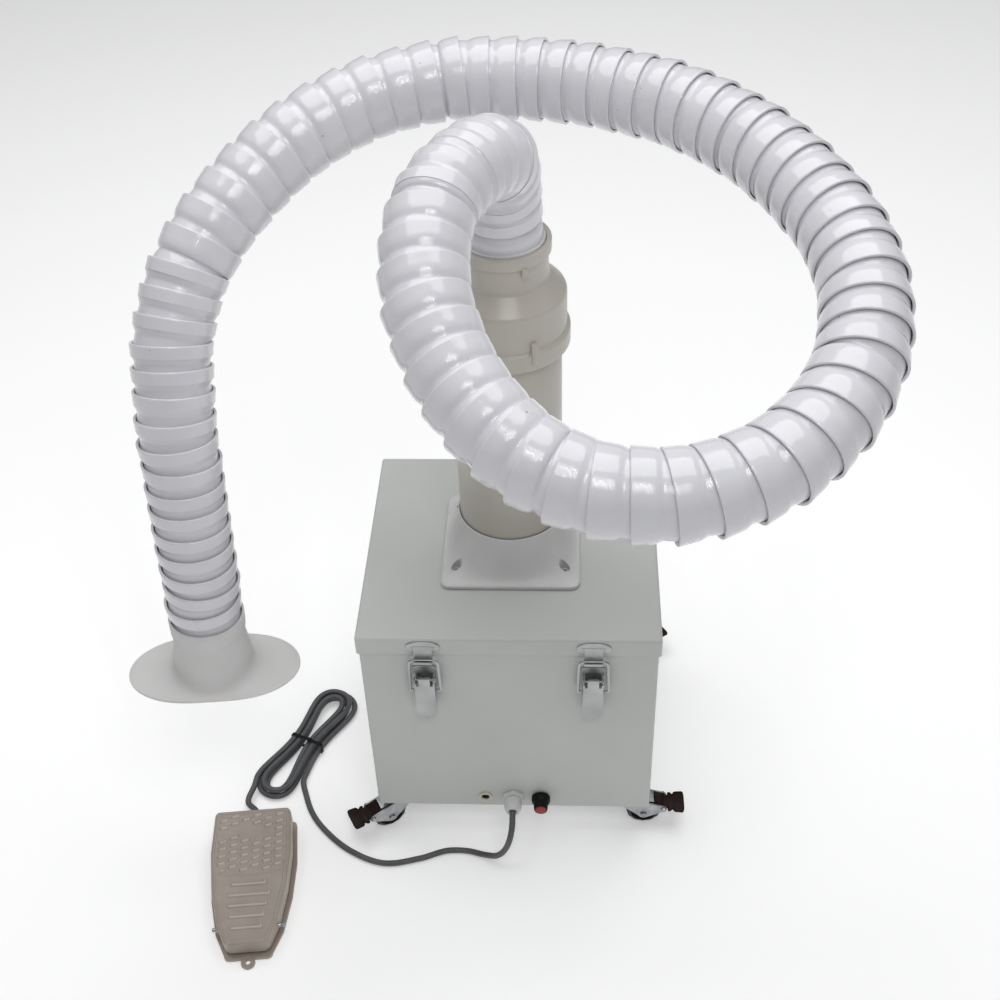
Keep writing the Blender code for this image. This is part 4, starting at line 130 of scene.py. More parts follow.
# Materials
class Finish:
    """A Principled material. What is even all over sits on the shader's own sockets."""

    def __init__(self, name, **sockets):
        self.material = bpy.data.materials.new(name)
        self.material.use_nodes = True
        self.nodes = self.material.node_tree.nodes
        self.shader = self.filled(self.nodes["Principled BSDF"], sockets)
        self.place = self.node("TexCoord").outputs["Object"]
        self.bump_before = None

    def filled(self, node, sockets):
        for socket, value in sockets.items():
            node.inputs[socket.replace("_", " ")].default_value = value
        return node

    def node(self, kind, **sockets):
        return self.filled(self.nodes.new("ShaderNode" + kind), sockets)

    def link(self, source, node, socket):
        self.material.node_tree.links.new(source, node.inputs[socket])
        return node

    def noise(self, scale, detail=3.0, stretch=None):
        source = self.place
        if stretch:
            source = self.link(source, self.node("Mapping", Scale=stretch), "Vector").outputs["Vector"]
        texture = self.node("TexNoise", Scale=scale, Detail=detail)
        return self.link(source, texture, "Vector").outputs["Fac"]

    def ramp(self, source, low, high, low_at=0.3, high_at=0.7):
        ramp = self.node("ValToRGB")
        for stop, colour, position in zip(ramp.color_ramp.elements, (low, high), (low_at, high_at)):
            stop.position = position
            stop.color = (*colour, 1.0)
        return self.link(source, ramp, "Fac").outputs["Color"]

    def over(self, below, colour, mask):
        """The base colour: what is below, and a plain colour where the mask is 1."""
        mix = self.node("Mix")
        mix.data_type = "RGBA"
        mix.inputs["B"].default_value = (*colour, 1.0)
        self.link(mask, mix, "Factor")
        self.link(below, mix, "A")
        self.link(mix.outputs["Result"], self.shader, "Base Color")
        return self

    def coloured(self, low, high, scale, detail=3.0, stretch=None):
        """A base colour that varies between two."""
        source = self.noise(scale, detail, stretch)
        self.link(self.ramp(source, low, high), self.shader, "Base Color")
        return self

    def speckled(self, low, high, scale, speck, share, speck_scale):
        """Soft mottling with small specks of dirt over it."""
        base = self.ramp(self.noise(scale), low, high)
        specks = self.noise(speck_scale, 2.0)
        return self.over(base, speck, self.ramp(specks, (0, 0, 0), (1, 1, 1), 1 - share, 1 - share + 0.03))

    def painted_highlight(self, colour):
        """Another colour where the mesh's own vertex values say so: here a painted highlight on the pedal's
        raised relief.
        """
        mask = self.node("Attribute")
        mask.attribute_name = "painted_highlight"
        below = self.shader.inputs["Base Color"].links[0].from_socket
        return self.over(below, colour, mask.outputs["Fac"])

    def worn(self, low, high, scale):
        """Roughness that varies between two values."""
        spread = self.node("MapRange", From_Min=0.3, From_Max=0.7, To_Min=low, To_Max=high)
        self.link(self.noise(scale, 4.0), spread, "Value")
        self.link(spread.outputs["Result"], self.shader, "Roughness")
        return self

    def bumped(self, source, distance, strength):
        bump = self.link(source, self.node("Bump", Strength=strength, Distance=distance), "Height")
        if self.bump_before:
            self.link(self.bump_before, bump, "Normal")
        self.bump_before = bump.outputs["Normal"]
        self.link(self.bump_before, self.shader, "Normal")
        return self

    def grained(self, scale, detail, distance, strength, stretch=None):
        """Bumps of noise, over those that are there."""
        return self.bumped(self.noise(scale, detail, stretch), distance, strength)

    def pitted(self, scale, distance, strength):
        """Bumps like the cells of a foam."""
        texture = self.link(self.place, self.node("TexVoronoi", Scale=scale), "Vector")
        return self.bumped(texture.outputs["Distance"], distance, strength)


def finishes():
    """Every finish on the part, by name."""
    return {
        "cabinet_paint": Finish("powder_coat", Specular_IOR_Level=0.45)
        .coloured((0.552, 0.568, 0.548), (0.58, 0.597, 0.577), 9).worn(0.36, 0.48, 60)
        .grained(620, 2, 0.00022, 0.35).grained(14, 1, 0.0012, 0.1),
        "steel": Finish("nickel_steel", Metallic=1)
        .coloured((0.37, 0.38, 0.38), (0.5, 0.51, 0.51), 30).worn(0.34, 0.52, 120)
        .grained(900, 2, 0.00006, 0.5, (1, 1, 0.06)),
        "zinc": Finish("zinc_steel", Metallic=1)
        .coloured((0.34, 0.35, 0.365), (0.5, 0.51, 0.525), 110).worn(0.26, 0.48, 160)
        .grained(700, 3, 0.00008, 0.5),
        "dark_steel": Finish("dark_steel", Base_Color=(0.12, 0.125, 0.14, 1), Metallic=1)
        .worn(0.3, 0.5, 200),
        "gloss_white": Finish("gloss_white", Coat_Weight=0.25, Coat_Roughness=0.07, Subsurface_Weight=0.06,
                              Subsurface_Scale=0.004)
        .speckled((0.7, 0.695, 0.728), (0.745, 0.74, 0.773), 26, (0.3, 0.28, 0.28), 0.225, 190)
        .worn(0.1, 0.18, 75).grained(85, 2, 0.0005, 0.16),
        "white_plastic": Finish("satin_white", Subsurface_Weight=0.05, Subsurface_Scale=0.003)
        .coloured((0.64, 0.64, 0.63), (0.685, 0.685, 0.676), 22).worn(0.32, 0.46, 90)
        .grained(420, 2, 0.00012, 0.25),
        "matt_white": Finish("matt_white", Subsurface_Weight=0.08, Subsurface_Scale=0.004)
        .coloured((0.64, 0.64, 0.63), (0.69, 0.69, 0.682), 15).worn(0.42, 0.6, 40)
        .grained(38, 3, 0.0012, 0.2),
        "cream_plastic": Finish("cream_pvc", Subsurface_Weight=0.05, Subsurface_Scale=0.003)
        .coloured((0.48, 0.455, 0.4), (0.535, 0.512, 0.458), 12, 3, (1, 1, 0.35))
        .worn(0.28, 0.32, 55).grained(160, 2, 0.00016, 0.25, (1, 1, 0.05)),
        "rubber": Finish("rubber", Roughness=0.78)
        .coloured((0.028, 0.028, 0.029), (0.05, 0.049, 0.049), 80).grained(900, 3, 0.0001, 0.5),
        "wheel": Finish("wheel_rubber")
        .coloured((0.022, 0.018, 0.02), (0.055, 0.042, 0.045), 120).worn(0.42, 0.66, 140),
        "brown_plastic": Finish("brown_plastic", Specular_IOR_Level=0.12)
        .coloured((0.015, 0.007, 0.006), (0.026, 0.013, 0.01), 45).worn(0.36, 0.5, 120)
        .grained(850, 3, 0.00009, 0.5),
        "black_plastic": Finish("black_plastic", Base_Color=(0.008, 0.008, 0.009, 1),
                                Specular_IOR_Level=0.14)
        .worn(0.34, 0.48, 180).grained(900, 3, 0.00006, 0.5),
        "red_plastic": Finish("red_plastic", Roughness=0.38)
        .coloured((0.27, 0.014, 0.008), (0.36, 0.022, 0.012), 200),
        # pedal_cast: the lighter colour on the treadle's raised relief is a painted highlight
        "pedal_cast": Finish("pedal_cast")
        .coloured((0.345, 0.29, 0.245), (0.4, 0.342, 0.292), 40).painted_highlight((0.53, 0.465, 0.41))
        .worn(0.3, 0.46, 110).grained(750, 3, 0.00014, 0.5),
        "cable": Finish("cable_sheath")
        .coloured((0.082, 0.083, 0.088), (0.112, 0.113, 0.119), 60).worn(0.42, 0.56, 150)
        .grained(600, 2, 0.00008, 0.4),
        "filter_paper": Finish("filter_paper", Roughness=0.92, Sheen_Weight=0.1)
        .coloured((0.66, 0.64, 0.56), (0.76, 0.74, 0.67), 160, 5).grained(1400, 4, 0.0002, 0.6),
        "foam": Finish("open_foam", Roughness=0.95, Sheen_Weight=0.2)
        .coloured((0.035, 0.035, 0.038), (0.15, 0.15, 0.16), 420, 2).pitted(520, 0.0009, 0.9),
        "ivory": Finish("ivory", Roughness=0.34)
        .coloured((0.58, 0.54, 0.44), (0.66, 0.62, 0.52), 120),
        "filter_card": Finish("filter_card", Roughness=0.85)
        .coloured((0.56, 0.54, 0.48), (0.66, 0.64, 0.58), 60, 4).grained(700, 3, 0.0001, 0.4),
        "board": Finish("circuit_board", Roughness=0.42)
        .coloured((0.022, 0.13, 0.055), (0.04, 0.19, 0.085), 90),
    }


# Mesh helpers
def filleted(outline, radius, steps=3, closed=True):
    """The outline with its corners rounded, by less where an edge is short."""
    out = []
    count = len(outline)
    for i, corner in enumerate(outline):
        corner = np.array(corner, float)
        if not closed and i in (0, count - 1):
            out.append(tuple(corner))
            continue
        a = np.array(outline[i - 1], float) - corner
        b = np.array(outline[(i + 1) % count], float) - corner
        long_a, long_b = np.linalg.norm(a), np.linalg.norm(b)
        if a.dot(b) < -0.99 * long_a * long_b:
            out.append(tuple(corner))
            continue
        reach = min(radius, 0.45 * long_a, 0.45 * long_b)
        start, end = corner + a / long_a * reach, corner + b / long_b * reach
        for k in range(steps + 1):
            t = k / steps
            out.append(tuple((1 - t) ** 2 * start + 2 * t * (1 - t) * corner + t ** 2 * end))
    return out


def circle(radius, sides, z=0.0, turn=0.0):
    angles = [turn + 2 * math.pi * i / sides for i in range(sides)]
    return [Vector((radius * math.cos(a), radius * math.sin(a), z)) for a in angles]


def rounded_rectangle(half_x, half_y, corner, steps):
    corners = ((half_x, half_y), (-half_x, half_y), (-half_x, -half_y), (half_x, -half_y))
    return filleted(corners, corner, steps)


def hexagon(radius, corner, steps, turn=0.0):
    return filleted([(p.x, p.y) for p in circle(radius, 6, 0, turn)], corner, steps)


def squarish(half_x, half_y, power_x, power_y, count):
    """An ellipse that leans towards its box as the powers fall below 1."""
    points = []
    for i in range(count):
        c, s = math.cos(2 * math.pi * (i + 0.5) / count), math.sin(2 * math.pi * (i + 0.5) / count)
        points.append((half_x * math.copysign(abs(c) ** power_x, c),
                       half_y * math.copysign(abs(s) ** power_y, s)))
    return points


def inset_normals(outline):
    """Inward normals of a closed flat outline that runs anticlockwise."""
    count = len(outline)
    normals = []
    for i in range(count):
        before, after = Vector(outline[i - 1][:2]), Vector(outline[(i + 1) % count][:2])
        along = (after - before).normalized()
        normals.append((-along.y, along.x))
    return normals


def inset_ring(outline, inset, z, matrix=Matrix()):
    """A closed flat outline drawn in and set at a height."""
    return [matrix @ Vector((p[0] + n[0] * inset, p[1] + n[1] * inset, z))
            for p, n in zip(outline, inset_normals(outline))]


def grid_faces(bm, grid):
    for a, b in zip(grid, grid[1:]):
        for i in range(len(a) - 1):
            bm.faces.new((a[i], a[i + 1], b[i + 1], b[i]))


def object_of(name, bm):
    mesh = bpy.data.meshes.new(name)
    bm.to_mesh(mesh)
    bm.free()
    return bpy.data.objects.new(name, mesh)


class Skin:
    """Collects points and faces for one mesh."""

    def __init__(self):
        self.points, self.faces = [], []

    def rings(self, rings, closed=False):
        """Joins rings of equal count: the last to the first where closed, else capped."""
        base, count = len(self.points), len(rings[0])
        for ring in rings:
            self.points += [tuple(p) for p in ring]
        for k in range(len(rings) if closed else len(rings) - 1):
            a, b = base + k * count, base + (k + 1) % len(rings) * count
            for i in range(count):
                j = (i + 1) % count
                self.faces.append((a + i, a + j, b + j, b + i))
        if not closed:
            last = base + (len(rings) - 1) * count
            self.faces.append(tuple(reversed(range(base, base + count))))
            self.faces.append(tuple(range(last, last + count)))
        return self

    def turned(self, profile, sides, matrix=Matrix(), closed=True):
        """Turns (radius, height) points about Z."""
        rings = [[matrix @ p for p in circle(r, sides, z)] for r, z in profile]
        return self.rings(rings, closed)

    def slab(self, outline, low, high, edge, matrix):
        """A flat outline raised from low to high, its rims rounded by edge."""
        levels = [(low, edge), (low + 0.3 * edge, 0.3 * edge), (low + edge, 0.0),
                  (high - edge, 0.0), (high - 0.3 * edge, 0.3 * edge), (high, edge)]
        return self.rings([inset_ring(outline, inset, z, matrix) for z, inset in levels])

    def as_object(self, name):
        mesh = bpy.data.meshes.new(name)
        mesh.from_pydata(self.points, [], self.faces)
        return bpy.data.objects.new(name, mesh)

    def made(self, name, body, finish, *nodes, **looks):
        obj = self.as_object(name)
        bm = bmesh.new()
        bm.from_mesh(obj.data)
        bmesh.ops.recalc_face_normals(bm, faces=bm.faces)
        bm.to_mesh(obj.data)
        bm.free()
        return shown(obj, body, finish, *nodes, **looks)


def shown(obj, body, finish, *nodes, slot=None, angle=38.0):
    """Puts a piece in the scene, on its body, with a finish; its slot is worked out but not used."""
    slot = slot or finish
    SCENE.collection.objects.link(obj)
    obj.data.materials.append(FINISHES[finish].material)
    if obj.type == "MESH":
        obj.data.shade_smooth()
        obj.data.set_sharp_from_angle(angle=math.radians(angle))
    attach(obj, body)
    if nodes:
        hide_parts(*nodes)
    return obj


def dressed(node, finish, bevel):
    """A finish, and softly rounded edges unless bevel is 0, for a solid that stays."""
    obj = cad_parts[node]
    obj.data.materials.clear()
    obj.data.materials.append(FINISHES[finish].material)
    if bevel:
        weld = obj.modifiers.new("weld", "WELD")
        weld.merge_threshold = 0.00001
        step = obj.modifiers.new("edges", "BEVEL")
        step.width = bevel
        step.segments = 2
        step.limit_method = "ANGLE"
        step.angle_limit = math.radians(32)
        step.harden_normals = True


# Paths
def soft_step(value, width):
    """Rises smoothly from 0 to 1 as the value goes from 0 to the width."""
    share = min(max(value / width, 0.0), 1.0)
    return share * share * (3 - 2 * share)


def clamped_spline(points, samples):
    """A cubic B-spline that starts and ends at its outer control points."""
    degree = 3
    spans = len(points) - degree
    knots = [0.0] * degree + list(np.linspace(0.0, 1.0, spans + 1)) + [1.0] * degree
    path = []
    for t in np.linspace(0.0, 1.0, samples):
        span = min(int(t * spans), spans - 1) + degree
        work = [Vector(points[span - degree + i]) for i in range(degree + 1)]
        for level in range(1, degree + 1):
            for i in range(degree, level - 1, -1):
                low, high = knots[span - degree + i], knots[span + 1 + i - level]
                share = (t - low) / (high - low)
                work[i] = (1 - share) * work[i - 1] + share * work[i]
        path.append(work[degree])
    return path


class Route:
    """Places and directions on a path by arc length."""

    def __init__(self, points):
        self.places = np.array([tuple(p) for p in points])
        steps = np.diff(self.places, axis=0)
        self.lengths = np.concatenate([[0.0], np.cumsum(np.linalg.norm(steps, axis=1))])
        tangents = np.gradient(self.places, axis=0)
        self.tangents = tangents / np.linalg.norm(tangents, axis=1)[:, None]
        self.length = float(self.lengths[-1])

    def read(self, table, distance):
        return Vector([float(np.interp(distance, self.lengths, table[:, i])) for i in range(3)])

    def place(self, distance):
        return self.read(self.places, distance)

    def along(self, distance):
        return self.read(self.tangents, distance).normalized()


def axis_frame(origin, along, hint):
    """A frame at origin with Z along, X as near to hint as it can be."""
    along = along.normalized()
    side = (hint - along * hint.dot(along)).normalized()
    matrix = Matrix((side, along.cross(side), along)).transposed().to_4x4()
    matrix.translation = origin
    return matrix


# Cable: one cord from the gland through the hank to the pedal
def smooth_path(points, pieces):
    """A smooth curve through all but the outer two points, which only steer its ends."""
    points = [Vector(p) for p in points]
    fine = [points[0]]
    for a, b, c, d in zip(points, points[1:], points[2:], points[3:]):
        before, span, after = (b - a).length, (c - b).length, (d - c).length
        leave = ((b - a) / before - (c - a) / (before + span) + (c - b) / span) * span
        arrive = ((c - b) / span - (d - b) / (span + after) + (d - c) / after) * span
        for i in range(pieces):
            t = i / pieces
            fine.append((2 * t ** 3 - 3 * t ** 2 + 1) * b + (t ** 3 - 2 * t ** 2 + t) * leave
                        + (3 * t ** 2 - 2 * t ** 3) * c + (t ** 3 - t ** 2) * arrive)
    return fine + [points[-2], points[-1]]


def hank_point(turn):
    """A point of the hank: waisted turns that wind in, then out again one layer higher."""
    start, climb = HANK_START / (2 * math.pi), HANK_CLIMB / (2 * math.pi)
    laps = turn / (2 * math.pi)
    inward = laps - start if laps < climb else 2 * climb - laps - start
    half = 0.093 - inward * 0.0082
    lobe = 0.04 - inward * 0.0085
    waist = 0.02 - inward * 0.0078
    along = half * math.cos(turn)
    aside = math.sin(turn) * (waist + lobe * math.cos(turn) ** 2)
    layer = HANK_LAYER * soft_step((turn - HANK_CLIMB) / HANK_CLIMB_SPAN + 0.5, 1.0)
    c, s = math.cos(HANK_TURN), math.sin(HANK_TURN)
    return HANK_CENTRE + Vector((along * c - aside * s, along * s + aside * c, HANK_FLOOR + layer))


def cable():
    """One curve: gland, free run, hank, and the tail into the pedal."""
    per_lap, per_span, shortest_step = 96, 12, 0.0008
    sweep = HANK_END - HANK_START
    count = round(sweep / (2 * math.pi) * per_lap)
    hank = [hank_point(HANK_START + sweep * i / count) for i in range(count + 1)]
    lead = 2 * CABLE_RADIUS
    into = (hank[0] - hank[1]).normalized()
    out_of = (hank[-1] - hank[-2]).normalized()
    gland = [Vector((0, y, FITTING_HEIGHT)) for y in (-0.16, -0.1745)]
    run = smooth_path(gland + CABLE_RUN_POINTS + [hank[0] + into * lead, hank[0]], per_span)
    entry = [PEDAL_PLACE @ Vector((0, y, 0.012)) for y in (-0.0163, -0.0093)]
    tail = smooth_path([hank[-1], hank[-1] + out_of * lead] + CABLE_TAIL_POINTS + entry, per_span)
    points = run[:-1] + hank + tail[1:]
    kept = [points[0]]
    for p in points[1:]:
        if (p - kept[-1]).length > shortest_step:
            kept.append(p)
    curve = bpy.data.curves.new("cable", "CURVE")
    curve.dimensions = "3D"
    curve.bevel_depth = CABLE_RADIUS
    curve.bevel_resolution = 5
    curve.use_fill_caps = True
    spline = curve.splines.new("POLY")
    spline.points.add(len(kept) - 1)
    for point, place in zip(spline.points, kept):
        point.co = (*place, 1.0)
    spline.use_smooth = True
    obj = shown(bpy.data.objects.new("cable", curve), "cabinet", "cable",
                "cable_run", "cable_hank", "cable_tail")
    cable_tie()


def cable_tie():
    """A nylon tie round the strands of the hank's waist, with its lock on top."""
    low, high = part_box("cable_tie")
    turn = Matrix.Rotation(HANK_TURN - math.pi / 2, 4, "Z")
    across = turn @ Vector((1, 0, 0))
    strands = [across.dot(hank_point(math.radians(angle)) - HANK_CENTRE) for angle in range(-90, 1230, 180)]
    half_x = (max(strands) - min(strands)) / 2 + CABLE_RADIUS + 0.0009
    half_z = (high.z - low.z) / 2 - 0.0006
    middle = Vector((HANK_CENTRE.x, HANK_CENTRE.y, (high.z + low.z) / 2))
    place = Matrix.Translation(middle + across * (max(strands) + min(strands)) / 2) @ turn
    path = [Vector((x, 0, z)) for x, z in rounded_rectangle(half_x, half_z, 0.0045, 8)]
    band = filleted(mm((-0.55, -1.8), (0.55, -1.8), (0.55, 1.8), (-0.55, 1.8)), 0.0003, 2)
    rings = []
    for i, p in enumerate(path):
        along = (path[(i + 1) % len(path)] - path[i - 1]).normalized()
        out = along.cross(Vector((0, 1, 0)))
        rings.append([place @ (p + out * u + Vector((0, 1, 0)) * v) for u, v in band])
    skin = Skin().rings(rings, closed=True)
    lock = rounded_rectangle(0.0026, 0.0024, 0.0006, 3)
    skin.slab(lock, 0.0, 0.0028, 0.0004, place @ moved(0.004, 0, half_z - 0.001))
    return skin.made("cable_tie_band", "cabinet", "black_plastic", "cable_tie")


# Arm
def arm_route():
    start, samples = Vector((0, 0, COLLAR_TOP)), 1600
    return Route(clamped_spline([start + ARM_REACH * Vector(s) for s in ARM_ROUTE_SHARES], samples))


def cup_profile(length, free):
    """Outline of one cup about its own axis. A cup before a joint has the slimmer neck."""
    neck = mm((34.6, -13.4), (34.2, -12.5), (33.9, -11.5), (33.8, -10.5), (33.9, -9), (34.1, -7))
    if free:
        neck = mm((34.3, -13.4), (33.5, -12.7), (32.8, -12), (32.5, -11.2), (32.9, -9.5), (33.6, -7))
    mouth = mm((35.3, -6.7), (35.7, -7), (37.3, -7), (37.7, -6.6), (37.7, -5.2), (37.3, -2),
               (37.1, 1.5), (36.8, 5))
    top = mm((36.3, -17.8), (35.6, -15.7), (35, -14.4)) + neck \
        + mm((34.2, -3.5), (34.4, 0), (34.1, 4), (32.5, 5), (30.2, 3.5), (29, -8))
    bore = mm((29.2, 13), (30.2, 11), (33, 8.5), (34.5, 4.5), (35, 0), (35, -4.5))
    return mouth + [(radius, length + height) for radius, height in top] + bore


def arm(route):
    """Every cup on the route, each a little off its place and turned at random."""
    sides, unevenness = 56, 0.0006
    rng = random.Random(7)
    stops = [0.0]
    for length in SECTION_LENGTHS:
        stops.append(stops[-1] + length)
    stops.append(route.length)
    rims = []
    for number, cups in enumerate(SECTION_CUPS):
        mouth = stops[number] if number == 0 else stops[number] - MOUTH_BACK
        pitch = (stops[number + 1] - MOUTH_BACK - mouth) / cups
        rims += [(number + 1, mouth + pitch * i, i == 0) for i in range(cups)]
    centres = []
    for number, rim, first in rims:
        centre = route.place(rim + MOUTH_BACK)
        if not first:
            centre = centre + Vector([rng.uniform(-1, 1) for _ in range(3)]) * unevenness
        centres.append(centre)
    centres.append(route.place(route.length))
    skins = {}
    for k, (number, rim, first) in enumerate(rims):
        start, end = centres[k], centres[k + 1]
        spin = Matrix.Rotation(rng.uniform(0, 2 * math.pi), 4, "Z")
        matrix = axis_frame(start, end - start, Vector((1, 0.3, 0.2))) @ spin
        skin = skins.setdefault(number, Skin())
        free = k + 1 == len(rims) or rims[k + 1][0] != number
        skin.turned(cup_profile((end - start).length, free), sides, matrix)
    stub = mm((35.2, 1), (35.2, -23.8), (29.2, -23.8), (29.2, 6), (34.5, 6))
    foot = axis_frame(route.place(0.0), Vector((0, 0, 1)), Vector((1, 0, 0)))
    skins[1].turned(filleted(stub, 0.0006, 2), sides, foot)
    for number, skin in skins.items():
        skin.made("arm_cups_%d" % number, "arm_%d" % number, "gloss_white",
                  "arm_section_%d" % number, angle=50)


def hood(route):
    """Neck and oval plate on the last ball."""
    along = route.along(route.length)
    turn = math.radians(7.5)
    basis = axis_frame(route.place(route.length), along, Vector((math.cos(turn), math.sin(turn), 0)))
    count, steps = 112, 16
    half_x, half_y = 0.087, 0.0495
    neck, neck_end, top = 0.0395, 0.04, 0.0665

    def ring(radius, depth, oval=0.0, grow=0.0, wave=0.0):
        points = []
        for i in range(count):
            a = 2 * math.pi * i / count
            c, s = math.cos(a), math.sin(a)
            stretch = (half_x - half_y) * math.copysign(abs(c) ** 0.4, c) if abs(c) > 1e-6 else 0.0
            x = (1 - oval) * radius * c + oval * (half_y * c + stretch)
            y = (1 - oval) * radius * s + oval * half_y * s
            reach = 1 + grow / math.hypot(x, y)
            droop = wave * (math.sin(2 * a + 0.6) + 0.5 * math.sin(5 * a + 1.0))
            points.append(basis @ Vector((x * reach, y * reach, depth + droop)))
        return points

    rings = [ring(*point) for point in mm(
        (35.2, -6.6), (35.7, -7), (37, -7), (37.5, -6.4), (37.4, 2), (37.1, 10), (36.6, 11.6),
        (35.8, 13), (35.7, 16), (36.6, 24), (38, 33), (39.5, 40))]
    for k in range(1, steps + 1):
        share = (k / steps) ** 1.4
        depth = neck_end + (top - neck_end) * math.sin(math.acos(1 - share))
        rings.append(ring(neck, depth, share ** 2, -0.0012 * share ** 6, 0.00045 * share ** 3))
    for below, grow, wave in mm((0.3, -0.5, 0.4), (0.9, -0.1, 0.3), (1.7, -0.1, 0.2), (2.3, -0.6, 0),
                                (2.5, -1.2, 0)):
        rings.append(ring(0, top + below, 1.0, grow, wave))
    rings += [ring(*point) for point in mm(
        (46.5, 69), (45, 68.7), (43.8, 67.8), (40, 61), (35, 50), (32.6, 40), (30, 14), (30.8, 12),
        (33.2, 8.5), (34.6, 4.5), (35, 0), (35, -4.5))]
    Skin().rings(rings, closed=True).made("hood_shell", "hood", "matt_white", "hood", slot="white_plastic",
                                          angle=55)


# Duct
def duct():
    pipe = filleted(mm((55, 599.5), (55, 281.5), (51.8, 281.5), (51.8, 599.5)), 0.0008, 2)
    Skin().turned(pipe, 128).made("pipe", "lid", "cream_plastic", "duct_pipe")
    profile = mm((45.5, 669), (45.5, 657), (42.5, 656.8), (42.5, 633.5), (43.8, 630), (58.8, 615), (60, 612),
                 (60, 575), (63.4, 573.5), (63.4, 556), (55.3, 556), (55.3, 600), (51.3, 600), (51.3, 610),
                 (34.5, 629.8), (34.5, 642), (40.5, 642), (40.5, 669))
    skin = Skin().turned(filleted(profile, 0.0011, 4), 128)
    for radius, height, half, root in mm((62.8, 574.5, 11.5, 3.4), (45, 654, 5, 2.6)):
        place = rotated(-62) @ moved(radius, 0, height) @ RIGHTWARD
        skin.slab(rounded_rectangle(0.0031, half, 0.0014, 4), -root, 0.0021, 0.0007, place)
        skin.slab(rounded_rectangle(0.0011, half - 0.002, 0.0006, 3), 0.0019, 0.0026, 0.0002, place)
    skin.made("reducer_body", "lid", "cream_plastic", "reducer")
    collar = filleted(mm((40, 670.7), (40, 642.3), (36, 642.3), (36, 670.7)), 0.0007, 3)
    Skin().turned(collar, 96).made("collar_ring", "arm_1", "white_plastic", "arm_collar")


def flange():
    """A square plate that rises in a saddle to the pipe's round, with four countersunk holes."""
    count, half, corner = 128, 0.075, 0.01
    flat = half - corner
    square, unit = [], []
    for i in range(count):
        a = 2 * math.pi * i / count
        c, s = math.cos(a), math.sin(a)
        reach = half / max(abs(c), abs(s))
        if abs(reach * c) > flat and abs(reach * s) > flat:
            dot = flat * (abs(c) + abs(s))
            reach = dot + math.sqrt(max(dot * dot - 2 * flat * flat + corner * corner, 0))
        square.append(Vector((reach * c, reach * s, 0)))
        unit.append(Vector((c, s, 0)))
    bottom, top, plate, edge, steps = FLANGE_BOTTOM, FLANGE_BOTTOM + FLANGE_RISE, 0.005, 0.0018, 22

    def blend(share, height, scale=1.0):
        up = Vector((0, 0, height))
        return [((1 - share) * a + share * 0.0575 * b) * scale + up for a, b in zip(square, unit)]

    rings = [blend(0, bottom, 1 - 0.0006 / half), blend(0, bottom + 0.0006)]
    for k in range(5):
        a = math.pi / 2 * k / 4
        height = bottom + plate - edge + edge * math.sin(a)
        rings.append(blend(0, height, 1 - edge * (1 - math.cos(a)) / half))
    for k in range(1, steps + 1):
        share = math.sin(math.pi / 2 * k / steps)
        climb = (FLANGE_RISE - plate - 0.0012) * (1 - math.cos(math.asin(share)))
        rings.append(blend(share, bottom + plate + climb))
    for radius, height in ((0.0574, top - 0.0005), (0.057, top), (0.0561, top), (0.0557, top - 0.0006),
                           (0.0553, top - 0.003), (0.0553, bottom)):
        rings.append([b * radius + Vector((0, 0, height)) for b in unit])
    base = Skin().rings(rings, closed=True).made("flange_body", "lid", "white_plastic",
                                                 "duct_flange", angle=60)
    cutters = Skin()
    hole = [(radius, bottom + height) for radius, height in
            ((0.0024, -0.01), (0.0024, 0.0026), (0.005, 0.0028), (0.006, 0.0036), (0.0062, FLANGE_RISE))]
    for place in FLANGE_HOLES:
        cutters.turned(hole, 40, moved(*place), closed=False)
    cutter = cutters.as_object("flange_cut")
    SCENE.collection.objects.link(cutter)
    step = base.modifiers.new("holes", "BOOLEAN")
    step.operation = "DIFFERENCE"
    step.solver = "EXACT"
    step.object = cutter
    bpy.context.view_layer.update()
    graph = bpy.context.evaluated_depsgraph_get()
    result = bpy.data.meshes.new_from_object(base.evaluated_get(graph), depsgraph=graph)
    base.modifiers.clear()
    base.data = result
    base.data.shade_smooth()
    base.data.set_sharp_from_angle(angle=math.radians(50))
    bpy.data.objects.remove(cutter, do_unlink=True)


# Stage and lights
def stage():
    reach = 8.0
    plane = Skin()
    plane.points = [(x * reach, y * reach, FLOOR) for x, y in ((-1, -1), (1, -1), (1, 1), (-1, 1))]
    plane.faces = [(0, 1, 2, 3)]
    floor = plane.as_object("floor")
    SCENE.collection.objects.link(floor)
    white = Finish("floor", Base_Color=(0.94, 0.94, 0.94, 1.0), Roughness=0.9, Specular_IOR_Level=0.1,
                   Emission_Color=(1.0, 1.0, 1.0, 1.0), Emission_Strength=0.26)
    floor.data.materials.append(white.material)
    world = bpy.data.worlds.new("studio")
    SCENE.world = world
    world.use_nodes = True
    back = world.node_tree.nodes["Background"]
    back.inputs["Color"].default_value = (0.97, 0.98, 1.0, 1.0)
    back.inputs["Strength"].default_value = 0.19
    lights = [("overhead", (-0.1, 0.55, 3.0), (0.0, -0.05, 0.2), (3.4, 2.4), 62.0),
              ("front", (0.35, -1.75, 2.9), (0.0, 0.0, 0.5), (1.6, 0.7), 8.0)]
    for letter, x in zip("abcd", (-0.05, 0.2, 0.45, 0.7)):
        lights.append(("strip_" + letter, (x, -1.55, 2.6), (0.05, -0.1, 0.5), (0.035, 1.1), 2.4))
    for name, place, target, size, power in lights:
        data = bpy.data.lights.new(name, "AREA")
        data.shape = "RECTANGLE"
        data.size, data.size_y = size
        data.energy = power
        light = bpy.data.objects.new(name, data)
        SCENE.collection.objects.link(light)
        toward = Vector(target) - Vector(place)
        light.matrix_world = Matrix.Translation(place) @ toward.to_track_quat("-Z", "Y").to_matrix().to_4x4()


# Front fittings are turned about Z and laid along -Y
def facing_front(x):
    return moved(x, FRONT, FITTING_HEIGHT) @ FORWARD


